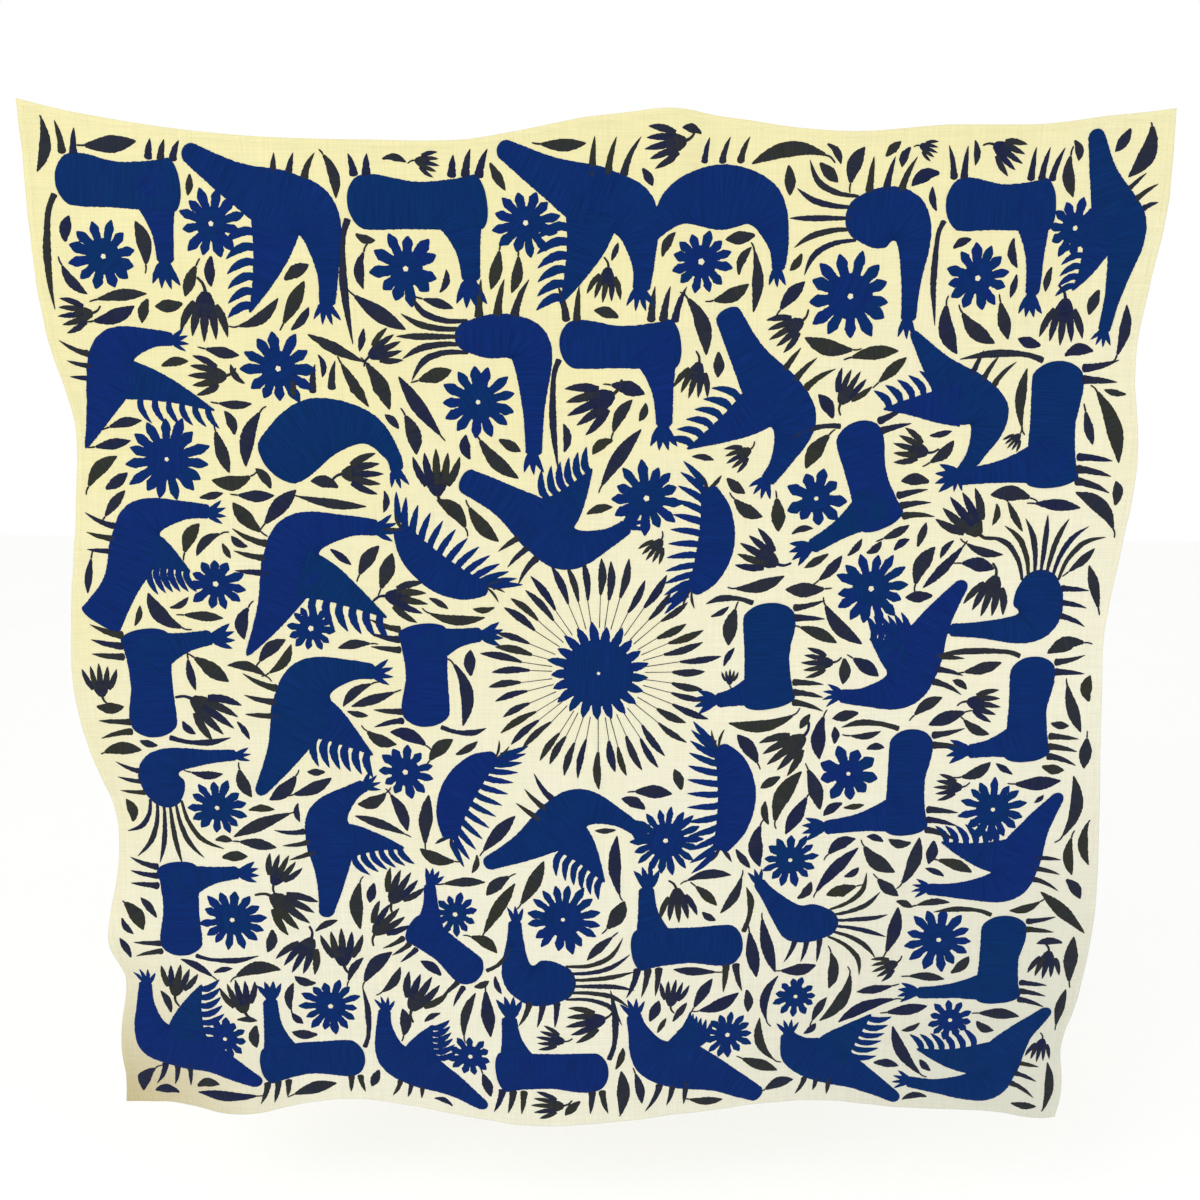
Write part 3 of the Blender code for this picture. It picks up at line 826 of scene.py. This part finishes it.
def add(tree, kind, inputs=None, **settings):
    """Adds one node with its settings. Each input is a value, or another node's output to link."""
    node = tree.nodes.new(kind)
    for name, value in settings.items():
        setattr(node, name, value)
    for name, value in (inputs or {}).items():
        if isinstance(value, bpy.types.NodeSocket):
            tree.links.new(value, node.inputs[name])
        else:
            node.inputs[name].default_value = value
    return node


def wave_scale(pitch):
    """The wave texture's scale for one band to each pitch, in metres: a full turn over 20 pitches."""
    return math.tau / pitch / 20


def new_material(name):
    """A named material with an empty tree."""
    material = bpy.data.materials.new(name)
    material.use_nodes = True
    material.node_tree.nodes.clear()
    return material, material.node_tree


def cotton_sheeting(settings):
    """Unbleached plain-weave cotton sheeting, woven and washed.

    To the eye: a pale cream without shine; yellower near the top hem, partly from yellowing and partly as
    painted warm light from above; greyer towards the bottom right corner as painted cool shade, and browner
    at the bottom left one as painted shade where that corner curls back; faint slubs where a yarn runs
    thick, and the small relief of the weave. The yarns really lie 0.5 mm apart, and are drawn 1.4 mm apart
    so that they show.
    """
    material, tree = new_material("unbleached plain-weave cotton")
    place = add(tree, "ShaderNodeTexCoord").outputs["Object"]
    # Painted warm light, partly yellowing: a share that grows upwards and to the left, clouded by noise,
    # mixes the pale cotton into the warm one
    axes = add(tree, "ShaderNodeSeparateXYZ", {0: place})
    lean = add(
        tree, "ShaderNodeMath",
        {0: axes.outputs["X"], 1: -0.35, 2: axes.outputs["Z"]}, operation="MULTIPLY_ADD",
    )
    cloud = add(
        tree, "ShaderNodeTexNoise", {"Vector": place, "Scale": 3.2, "Detail": 3.0, "Roughness": 0.55},
    )
    lean = add(
        tree, "ShaderNodeMath",
        {0: cloud.outputs["Fac"], 1: 1.1, 2: lean.outputs[0]}, operation="MULTIPLY_ADD",
    )
    lean = add(
        tree, "ShaderNodeMapRange",
        {"Value": lean.outputs[0], "From Min": -0.95, "From Max": 0.6}, interpolation_type="SMOOTHSTEP",
    )
    tone = add(
        tree, "ShaderNodeMix",
        {0: lean.outputs[0], 6: (*settings.pale_cotton, 1), 7: (*settings.warm_lit_cotton, 1)},
        data_type="RGBA",
    )
    for corner, reach, painted_shade in (
        # Painted cool shade towards the bottom right corner
        ((0.95, 0, -2.0), 1.15, settings.cool_shaded_cotton),
        # Painted shade at the bottom left corner, where the cloth curls back
        ((-1.15, 0, -1.95), 0.5, settings.shaded_corner_cotton),
    ):
        away = add(tree, "ShaderNodeVectorMath", {0: place, 1: corner}, operation="DISTANCE")
        near = add(
            tree, "ShaderNodeMapRange",
            {"Value": away.outputs["Value"], "From Min": reach, "From Max": 0.1 * reach},
            interpolation_type="SMOOTHSTEP",
        )
        tone = add(
            tree, "ShaderNodeMix",
            {0: near.outputs[0], 6: tone.outputs[2], 7: (*painted_shade, 1)}, data_type="RGBA",
        )
    # A slub is about 70 mm long and 2.4 mm across, along either yarn
    slubs = []
    for scale in ((14, 14, 420), (420, 14, 14)):
        drawn_out = add(tree, "ShaderNodeMapping", {"Vector": place, "Scale": scale}).outputs[0]
        slubs.append(add(tree, "ShaderNodeTexNoise", {"Vector": drawn_out, "Scale": 1.0, "Detail": 2.0}))
    slub = add(
        tree, "ShaderNodeMath",
        {0: slubs[0].outputs["Fac"], 1: slubs[1].outputs["Fac"]}, operation="MULTIPLY",
    )
    streak = add(
        tree, "ShaderNodeMapRange",
        {"Value": slub.outputs[0], "From Min": 0.12, "From Max": 0.42, "To Min": 0.93, "To Max": 1.04},
    )
    colour = add(
        tree, "ShaderNodeVectorMath", {0: tone.outputs[2], 1: streak.outputs[0]}, operation="MULTIPLY",
    )
    waves = []
    for way in ("X", "Z"):
        waves.append(add(
            tree, "ShaderNodeTexWave",
            {
                "Vector": place, "Scale": wave_scale(WEAVE_PITCH), "Distortion": 0.6, "Detail": 1.0,
                "Detail Scale": 0.6,
            },
            bands_direction=way,
        ))
    weave = add(
        tree, "ShaderNodeMath",
        {0: waves[0].outputs["Fac"], 1: waves[1].outputs["Fac"]}, operation="MAXIMUM",
    )
    relief = add(
        tree, "ShaderNodeMath", {0: slub.outputs[0], 1: 1.2, 2: weave.outputs[0]}, operation="MULTIPLY_ADD",
    )
    bump = add(tree, "ShaderNodeBump", {"Height": relief.outputs[0], "Strength": 0.35, "Distance": 0.0004})
    shader = add(
        tree, "ShaderNodeBsdfPrincipled",
        {
            "Base Color": colour.outputs[0], "Roughness": 0.92, "Specular IOR Level": 0.25,
            "Sheen Weight": 0.12, "Sheen Roughness": 0.6, "Normal": bump.outputs[0],
        },
    )
    add(tree, "ShaderNodeOutputMaterial", {"Surface": shader.outputs[0]})
    return material


def stitching_thread(name, main, other, pitch):
    """Dyed cotton thread laid side by side in satin stitch.

    To the eye: deep colour with a soft sheen along the thread, a slightly different tone from one shape and
    one stitch to the next, and a fine furrow between stitches. The thread is 0.6 mm thick, and its strands
    are drawn at half the stitch pitch so that they show.
    """
    material, tree = new_material(name)
    along = add(tree, "ShaderNodeUVMap", uv_map="thread").outputs[0]
    lot = add(tree, "ShaderNodeAttribute", attribute_name="dye_lot")
    # One tone to a stitch, changing about every 55 mm along it, and a wider cloud about 45 mm across
    stretch = add(tree, "ShaderNodeMapping", {"Vector": along, "Scale": (1 / pitch, 18, 1)})
    stitch = add(tree, "ShaderNodeTexNoise", {"Vector": stretch.outputs[0], "Scale": 1.0, "Detail": 2.0})
    cloud = add(tree, "ShaderNodeTexNoise", {"Vector": along, "Scale": 22.0, "Detail": 2.0})
    mixed = add(
        tree, "ShaderNodeMath",
        {0: cloud.outputs["Fac"], 1: 0.8, 2: lot.outputs["Fac"]}, operation="MULTIPLY_ADD",
    )
    share = add(tree, "ShaderNodeMapRange", {"Value": mixed.outputs[0], "From Min": 0.35, "From Max": 1.45})
    tone = add(
        tree, "ShaderNodeMix",
        {0: share.outputs[0], 6: (*main, 1), 7: (*other, 1)}, data_type="RGBA",
    )
    light = add(
        tree, "ShaderNodeMapRange",
        {"Value": stitch.outputs["Fac"], "From Min": 0.3, "From Max": 0.7, "To Min": 0.8, "To Max": 1.2},
    )
    colour = add(
        tree, "ShaderNodeVectorMath", {0: tone.outputs[2], 1: light.outputs[0]}, operation="MULTIPLY",
    )
    strands = add(
        tree, "ShaderNodeTexWave",
        {"Vector": along, "Scale": wave_scale(pitch / 2), "Distortion": 1.2, "Detail": 1.0},
        bands_direction="X",
    )
    bump = add(
        tree, "ShaderNodeBump", {"Height": strands.outputs["Fac"], "Strength": 0.5, "Distance": 0.0003},
    )
    shader = add(
        tree, "ShaderNodeBsdfPrincipled",
        {
            "Base Color": colour.outputs[0], "Roughness": 0.7, "Specular IOR Level": 0.06,
            "Sheen Weight": 0.03, "Sheen Roughness": 0.4, "Normal": bump.outputs[0],
        },
    )
    add(tree, "ShaderNodeOutputMaterial", {"Surface": shader.outputs[0]})
    return material


def put(name, points, faces, material, smooth=True):
    """Makes one piece from its points and faces, and lets it ride on the cloth's body."""
    mesh = bpy.data.meshes.new(name)
    corners = faces if isinstance(faces, list) else faces.tolist()
    mesh.from_pydata(points.reshape(-1, 3).tolist(), [], corners)
    if smooth:
        mesh.shade_smooth()
    mesh.materials.append(material)
    piece = bpy.data.objects.new(name, mesh)
    bpy.context.scene.collection.objects.link(piece)
    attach(piece, "root")
    return piece


def mark_thread(piece, along, lot):
    """Gives a piece its thread map, in metres along the shape and across it, and each point its dye lot."""
    mesh = piece.data
    corner = np.empty(len(mesh.loops), np.int32)
    mesh.loops.foreach_get("vertex_index", corner)
    layer = mesh.uv_layers.new(name="thread")
    layer.data.foreach_set("uv", along.reshape(-1, 2)[corner].astype(np.float32).ravel())
    lots = mesh.attributes.new("dye_lot", "FLOAT", "POINT")
    lots.data.foreach_set("value", lot.astype(np.float32).ravel())


def quads(first, wide):
    """The faces of a grid whose rows hold so many points. Each joins its first point to the next ones."""
    return np.stack((first, first + wide, first + wide + 1, first + 1), -1).reshape(-1, 4)


def sew(name, shapes, profile, material, settings, seed):
    """Sews shapes as one relief of thread.

    Each station of a shape is a line from rail to rail. Its points stand over the cotton by
    high * heights(share) * ridge, where ridge is 1 on a stitch and 0.72 in the furrow beside it, and high is
    kept under a third of the width. Each stitch ends a little beyond or short of its rail.
    """
    rng = np.random.default_rng(seed)
    shares, heights = np.array(profile[0]), np.array(profile[1])
    high = settings.thread_height * profile[2]
    counts = np.array([len(left) for left, _ in shapes])
    starts = np.concatenate(([0], np.cumsum(counts)))
    left = np.concatenate([left for left, _ in shapes])
    right = np.concatenate([right for _, right in shapes])
    owner = np.repeat(np.arange(len(shapes)), counts)
    order = np.arange(len(left)) - starts[owner]
    stitch = starts[owner] + order // 2
    across = right - left
    width = np.maximum(np.hypot(*across.T), 1e-4)
    ragged = settings.raggedness * 100 * np.minimum(1, width / 1.2)
    ends = rng.uniform(-1, 1, (2, len(left)))[:, stitch] * ragged
    left = left - across / width[:, None] * ends[0][:, None]
    right = right + across / width[:, None] * ends[1][:, None]
    middle = (left + right) / 2
    travel = np.concatenate(([0], np.cumsum(np.hypot(*np.diff(middle, axis=0).T))))
    tension = 1 + 0.12 * rng.uniform(-1, 1, len(left))[stitch]
    ridge = np.where(order % 2 == 0, 1.0, 0.72) * tension
    full = np.minimum(high, width / 100 / 3)
    places = (left[:, None] * (1 - shares[:, None]) + right[:, None] * shares[:, None]) / 100
    above = heights > 0
    rise = full[:, None] * heights * np.where(above, ridge[:, None], 1)
    rise = rise + np.where(above, rng.uniform(0, 0.00025, len(shapes))[owner][:, None], 0)
    points = cloth_points(places[..., 0], places[..., 1], rise + settings.thickness / 2)
    wide = len(shares)
    station = np.delete(np.arange(len(left)), starts[1:] - 1)
    faces = quads(station[:, None] * wide + np.arange(wide - 1), wide)
    piece = put(name, points, faces, material)
    along = np.stack(np.broadcast_arrays(travel[:, None] / 100, (width[:, None] / 100) * shares), -1)
    lot = np.repeat(rng.uniform(0, 1, len(shapes))[owner], wide)
    mark_thread(piece, along, lot)


class ClothSettings(bpy.types.PropertyGroup):
    """Sizes and colours of the cotton and its thread."""

    thickness: bpy.props.FloatProperty(
        name="Cotton thickness", description="Thickness of the cotton between its hems",
        default=0.0009, unit="LENGTH",
    )
    hem_thickness: bpy.props.FloatProperty(
        name="Hem thickness", description="Thickness of the turned hem",
        default=0.0021, unit="LENGTH",
    )
    hem_width: bpy.props.FloatProperty(
        name="Hem width", description="How wide the hem is turned",
        default=0.012, unit="LENGTH",
    )
    thread_height: bpy.props.FloatProperty(
        name="Thread height", description="How high the widest stitches stand over the cotton",
        default=0.0013, unit="LENGTH",
    )
    raggedness: bpy.props.FloatProperty(
        name="Stitch ends", description="How far a stitch ends from the drawn outline",
        default=0.0005, unit="LENGTH",
    )
    # Painted warm light, partly yellowing: the cotton near the top hem
    warm_lit_cotton: bpy.props.FloatVectorProperty(
        name="Warm cotton", description="The cotton near the top hem",
        subtype="COLOR", default=linear("#ece4ae"),
    )
    pale_cotton: bpy.props.FloatVectorProperty(
        name="Pale cotton", description="The cotton in the middle",
        subtype="COLOR", default=linear("#ece9d2"),
    )
    # Painted cool shade: the cotton at the bottom right
    cool_shaded_cotton: bpy.props.FloatVectorProperty(
        name="Cool cotton", description="The cotton at the bottom right",
        subtype="COLOR", default=linear("#d6d6c6"),
    )
    # Painted shade: the browner cotton at the bottom left corner, where the cloth curls back
    shaded_corner_cotton: bpy.props.FloatVectorProperty(
        name="Shaded corner cotton", description="The browned cotton at the bottom left",
        subtype="COLOR", default=linear("#c2b484"),
    )
    navy_thread: bpy.props.FloatVectorProperty(
        name="Navy thread", description="The thread of animals and flowers",
        subtype="COLOR", default=linear("#022c60"),
    )
    indigo_thread: bpy.props.FloatVectorProperty(
        name="Indigo thread", description="The navy thread's other tone",
        subtype="COLOR", default=linear("#08266a"),
    )
    # Painted shade: the leaves and limbs are sewn in the same navy thread, drawn darker for the lesser sheen
    # of thin stitches
    shaded_navy_thread: bpy.props.FloatVectorProperty(
        name="Dark thread", description="The thread of leaves and limbs",
        subtype="COLOR", default=linear("#1a2142"),
    )
    # The second, greyer tone of that painted shade
    grey_thread: bpy.props.FloatVectorProperty(
        name="Greyer thread", description="The dark thread's other tone",
        subtype="COLOR", default=linear("#2f3129"),
    )
    cream_thread: bpy.props.FloatVectorProperty(
        name="Cream thread", description="The knots and the hem stitches",
        subtype="COLOR", default=linear("#efe9c8"),
    )


class CLOTH_OT_sheet(bpy.types.Operator):
    """Make the cotton cloth with its turned hems"""

    bl_idname = "cloth.sheet"
    bl_label = "Cotton cloth"

    def execute(self, context):
        """The sheet is a grid of shares of the flat cloth. Its lines lie close at the hems and evenly
        between them. Each point hangs at its place, and Solidify gives the sheet its thickness, more in
        the hems."""
        settings = context.scene.cloth_settings
        cells, rim, beside_hem = 178, 0.0012, 0.0011
        hem = settings.hem_width / CLOTH_WIDTH
        inner = hem + beside_hem
        even = inner + (1 - 2 * inner) * np.linspace(0, 1, cells + 1)
        lines = np.concatenate(([0, rim, hem * 0.5, hem], even, [1 - hem, 1 - hem * 0.5, 1 - rim, 1]))
        side = len(lines)
        share_across, share_down = np.meshgrid(lines, lines)
        across, drop = flat_places(share_across, share_down)
        inward = np.minimum.reduce((share_across, 1 - share_across, share_down, 1 - share_down))
        half_width, depth = 0.002, 0.0003
        dent = np.exp(-(((inward * CLOTH_WIDTH - settings.hem_width * HEM_LINE) / half_width) ** 2))
        run = (share_across + share_down) * CLOTH_WIDTH * math.tau / (2 * HEM_PITCH)
        dent = dent * depth * (1 + 0.8 * np.sin(run))
        points = cloth_points(across, drop, -dent)
        faces = quads(np.arange(side - 1)[:, None] * side + np.arange(side - 1), side)
        piece = put("cotton_cloth", points, faces, cotton_sheeting(settings))
        in_hem = np.flatnonzero((inward <= hem + 1e-6).ravel())
        piece.vertex_groups.new(name="hem").add(in_hem.tolist(), 1.0, "REPLACE")
        wall = piece.modifiers.new("thickness", "SOLIDIFY")
        wall.thickness = settings.hem_thickness
        wall.offset = 0.0
        wall.vertex_group = "hem"
        wall.thickness_vertex_group = settings.thickness / settings.hem_thickness
        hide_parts("cloth")
        return {"FINISHED"}


def thread_materials(settings):
    """The navy thread, its darker and greyer copy that paints shade onto the thin shapes, and the cream
    thread, each made once.
    """
    rows = (
        ("navy satin stitch thread", settings.navy_thread, settings.indigo_thread, NAVY_PITCH),
        ("navy satin stitch thread darkened as painted shade", settings.shaded_navy_thread, settings.grey_thread, DARK_PITCH),
        ("cream cotton thread", settings.cream_thread, settings.cream_thread, CREAM_PITCH),
    )
    return [bpy.data.materials.get(row[0]) or stitching_thread(*row) for row in rows]


class CLOTH_OT_animals(bpy.types.Operator):
    """Sew the animals' bodies, then their legs, ears, tails and feathers"""

    bl_idname = "cloth.animals"
    bl_label = "Animals"

    def execute(self, context):
        settings = context.scene.cloth_settings
        navy, dark, _ = thread_materials(settings)
        shapes = lay_out()
        upper = [shape for shape in shapes["bodies"] if shape[0][:, 1].mean() < HALF_WAY]
        lower = [shape for shape in shapes["bodies"] if shape[0][:, 1].mean() >= HALF_WAY]
        sew("upper_animals", upper, WIDE, navy, settings, 1)
        sew("lower_animals", lower, WIDE, navy, settings, 2)
        sew("limbs_and_feathers", shapes["limbs"], NARROW, dark, settings, 3)
        return {"FINISHED"}


class CLOTH_OT_flowers(bpy.types.Operator):
    """Sew the flowers' hearts and petals, and the cream knot in each heart"""

    bl_idname = "cloth.flowers"
    bl_label = "Flowers"

    def execute(self, context):
        settings = context.scene.cloth_settings
        navy, _, cream = thread_materials(settings)
        shapes = lay_out()
        sew("flower_hearts", shapes["hearts"], WIDE, navy, settings, 4)
        sew("petals_and_feather_points", shapes["points"], NARROW, navy, settings, 5)
        knots(settings, cream)
        return {"FINISHED"}


def knots(settings, cream):
    """The wound knots in the flowers' hearts. Each is a low dome of rings, whose rise over its radius is the
    square root of 1 - r^2, and whose rim waves in five lobes."""
    rng = np.random.default_rng(6)
    hearts = np.array([row[:2] for row in FLOWERS] + [SUN])
    rings = np.array((1.0, 0.86, 0.55, 0.18))
    turns = np.linspace(0, math.tau, 15)[:-1]
    radius = rng.uniform(0.38, 0.52, len(hearts))[:, None, None]
    lobes = 1 + 0.12 * np.sin(5 * turns + rng.uniform(0, 6, len(hearts))[:, None])[:, None, :]
    away = radius * rings[:, None] * lobes
    across = hearts[:, 0, None, None] + away * np.cos(turns)
    drop = hearts[:, 1, None, None] + away * np.sin(turns)
    dome = np.sqrt(1 - rings**2 + 0.02)[:, None]
    rise = settings.thickness / 2 + settings.thread_height * 0.7 + 0.0011 * dome + 0 * away
    points = cloth_points(across / 100, drop / 100, rise)
    many = len(turns)
    block = np.arange(len(rings) - 1)[:, None] * many + np.arange(many)
    beside = np.arange(len(rings) - 1)[:, None] * many + (np.arange(many) + 1) % many
    ring = np.stack((block, block + many, beside + many, beside), -1).reshape(-1, 4)
    base = np.arange(len(hearts))[:, None, None] * many * len(rings)
    faces = (ring + base).reshape(-1, 4).tolist()
    caps = (np.arange(many)[::-1] + many * (len(rings) - 1) + base[:, 0]).tolist()
    piece = put("cream_knots", points, faces + caps, cream)
    along = np.stack(np.broadcast_arrays(away / 100 * 4, turns * 0.003), -1)
    mark_thread(piece, along, np.repeat(rng.uniform(0, 1, len(hearts)), many * len(rings)))


class CLOTH_OT_leaves(bpy.types.Operator):
    """Sew the leaves, bell flowers and stems"""

    bl_idname = "cloth.leaves"
    bl_label = "Leaves and stems"

    def execute(self, context):
        settings = context.scene.cloth_settings
        _, dark, _ = thread_materials(settings)
        shapes = lay_out()
        sew("leaves", shapes["leaves"], NARROW, dark, settings, 7)
        sew("stems", shapes["stems"], NARROW, dark, settings, 8)
        return {"FINISHED"}


def dashes(name, places, heading, long, wide, high, face, material, settings):
    """Short stitches as one piece: each is a roof of two triangles, with its ridge along its heading."""
    aside = np.stack((-heading[:, 1], heading[:, 0]), 1)
    corners = np.stack(
        (places - heading * long, places + aside * wide, places + heading * long, places - aside * wide), 1)
    rise = settings.thickness / 2 + high * np.array((1.0, -0.3, 1.0, -0.3))
    points = cloth_points(corners[..., 0], corners[..., 1], face * rise)
    first = np.arange(len(places))[:, None] * 4
    turned = (0, 1, 2, 0, 2, 3) if face > 0 else (0, 2, 1, 0, 3, 2)
    faces = (first + np.array(turned)).reshape(-1, 3)
    piece = put(name, points, faces, material, smooth=False)
    laid = np.array(((0, 0), (0.002, 0.0005), (0.004, 0), (0.002, -0.0005)))
    along = np.broadcast_to(laid, (len(places), 4, 2))
    mark_thread(piece, along, np.repeat(np.random.default_rng(9).uniform(0, 1, len(places)), 4))
    return piece


class CLOTH_OT_hem_stitches(bpy.types.Operator):
    """Sew the running stitches that hold the turned hems"""

    bl_idname = "cloth.hem_stitches"
    bl_label = "Hem stitches"

    def execute(self, context):
        settings = context.scene.cloth_settings
        _, _, cream = thread_materials(settings)
        rng = np.random.default_rng(10)
        inset = settings.hem_width * HEM_LINE / CLOTH_WIDTH
        run = np.arange(inset, 1 - inset, HEM_PITCH / CLOTH_WIDTH)
        run = run + rng.uniform(-0.0006, 0.0006, len(run))
        near = np.full(len(run), inset) + rng.uniform(-0.0003, 0.0003, len(run))
        places, headings = [], []
        for share_across, share_down in ((run, near), (run, 1 - near), (near, run), (1 - near, run)):
            spot = np.stack(flat_places(share_across, share_down), 1)
            ahead = np.gradient(spot, axis=0)
            places.append(spot)
            headings.append(ahead / np.hypot(*ahead.T)[:, None])
        piece = dashes("hem_stitches", np.concatenate(places), np.concatenate(headings), 0.0028, 0.0005,
                       0.0011, 1, cream, settings)
        return {"FINISHED"}


class CLOTH_OT_reverse(bpy.types.Operator):
    """Sew the short dashes that the embroidery leaves on the back of the cloth"""

    bl_idname = "cloth.reverse"
    bl_label = "Reverse stitches"

    def execute(self, context):
        """Each rail of each shape gets a dash every few millimetres, on the back face."""
        settings = context.scene.cloth_settings
        _, dark, _ = thread_materials(settings)
        places, headings = [], []
        for kind in ("bodies", "hearts", "points", "limbs", "leaves"):
            skip = 5 if kind in ("bodies", "hearts") else 4
            for rails in lay_out()[kind]:
                for rail in rails:
                    ahead = np.gradient(rail, axis=0)
                    steady = np.hypot(*ahead.T) > 0.02
                    spots = np.flatnonzero(steady)[::skip]
                    places.append(rail[spots] / 100)
                    headings.append(ahead[spots] / np.hypot(*ahead[spots].T)[:, None])
        dashes("reverse_stitches", np.concatenate(places), np.concatenate(headings), 0.0016, 0.0004,
               0.0004, -1, dark, settings)
        return {"FINISHED"}


class CLOTH_OT_stage(bpy.types.Operator):
    """Set the floor, the lights, the pale surroundings and the camera"""

    bl_idname = "cloth.stage"
    bl_label = "Stage"

    def execute(self, context):
        scene = context.scene
        scene.view_settings.view_transform = "Standard"
        half, level = 8.0, -2.2
        corners = [(x, y, level) for x, y in ((-half, -half), (half, -half), (half, half), (-half, half))]
        mesh = bpy.data.meshes.new("studio_floor")
        mesh.from_pydata(corners, [], [(0, 1, 2, 3)])
        # Matt painted board: a pale ground with the faintest cloud of wear
        material, tree = new_material("pale painted board")
        place = add(tree, "ShaderNodeTexCoord").outputs["Object"]
        cloud = add(tree, "ShaderNodeTexNoise", {"Vector": place, "Scale": 1.5, "Detail": 3.0})
        tone = add(
            tree, "ShaderNodeMix",
            {0: cloud.outputs["Fac"], 6: (*linear("#fafaf9"), 1), 7: (*linear("#fdfdfc"), 1)},
            data_type="RGBA",
        )
        shader = add(tree, "ShaderNodeBsdfPrincipled", {"Base Color": tone.outputs[2], "Roughness": 0.8})
        add(tree, "ShaderNodeOutputMaterial", {"Surface": shader.outputs[0]})
        mesh.materials.append(material)
        floor = bpy.data.objects.new("studio_floor", mesh)
        scene.collection.objects.link(floor)

        world = bpy.data.worlds.new("pale studio")
        world.use_nodes = True
        world.node_tree.nodes["Background"].inputs["Color"].default_value = (1, 1, 1, 1)
        world.node_tree.nodes["Background"].inputs["Strength"].default_value = 1.0
        scene.world = world

        lamps = (
            ("key", (-2.4, -2.6, 1.6), (62, 0, -42), 2.2, 24),
            ("fill", (2.6, -3.0, -0.2), (84, 0, 42), 2.4, 8),
        )
        for name, spot, turn, size, power in lamps:
            light = bpy.data.lights.new(name, "AREA")
            light.shape = "SQUARE"
            light.size = size
            light.energy = power
            lamp = bpy.data.objects.new(name, light)
            lamp.location = spot
            lamp.rotation_euler = [math.radians(value) for value in turn]
            scene.collection.objects.link(lamp)

        camera = bpy.data.objects.new("camera", bpy.data.cameras.new("camera"))
        camera.data.lens = 34.5
        camera.data.clip_end = 60
        tilt, yaw, roll = (math.radians(value) for value in (90 - 13.6, -0.21, 0.34))
        turned = Matrix.Rotation(yaw, 4, "Z") @ Matrix.Rotation(tilt, 4, "X") @ Matrix.Rotation(roll, 4, "Z")
        camera.matrix_world = Matrix.Translation((-0.120, -2.005, -0.339)) @ turned
        scene.collection.objects.link(camera)
        scene.camera = camera
        return {"FINISHED"}


class CLOTH_PT_panel(bpy.types.Panel):
    """Lists the steps that make the cloth"""

    bl_idname = "CLOTH_PT_panel"
    bl_label = "Embroidered cloth"
    bl_space_type = "VIEW_3D"
    bl_region_type = "UI"
    bl_category = "Cloth"

    def draw(self, context):
        settings = context.scene.cloth_settings
        for name in settings.bl_rna.properties.keys():
            if name not in ("name", "rna_type"):
                self.layout.prop(settings, name)
        for step in STEPS:
            self.layout.operator(step.bl_idname)


STEPS = (
    CLOTH_OT_stage, CLOTH_OT_sheet, CLOTH_OT_animals, CLOTH_OT_flowers, CLOTH_OT_leaves,
    CLOTH_OT_hem_stitches, CLOTH_OT_reverse,
)


def register():
    """Registers the settings, the steps and the panel."""
    for item in (ClothSettings, *STEPS, CLOTH_PT_panel):
        bpy.utils.register_class(item)
    bpy.types.Scene.cloth_settings = bpy.props.PointerProperty(type=ClothSettings)


def unregister():
    """Takes them out again."""
    del bpy.types.Scene.cloth_settings
    for item in (CLOTH_PT_panel, *reversed(STEPS), ClothSettings):
        bpy.utils.unregister_class(item)


def main():
    """Makes every piece in order."""
    register()
    for step in STEPS:
        group, name = step.bl_idname.split(".")
        getattr(getattr(bpy.ops, group), name)()
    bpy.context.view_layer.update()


if __name__ == "__main__":
    main()
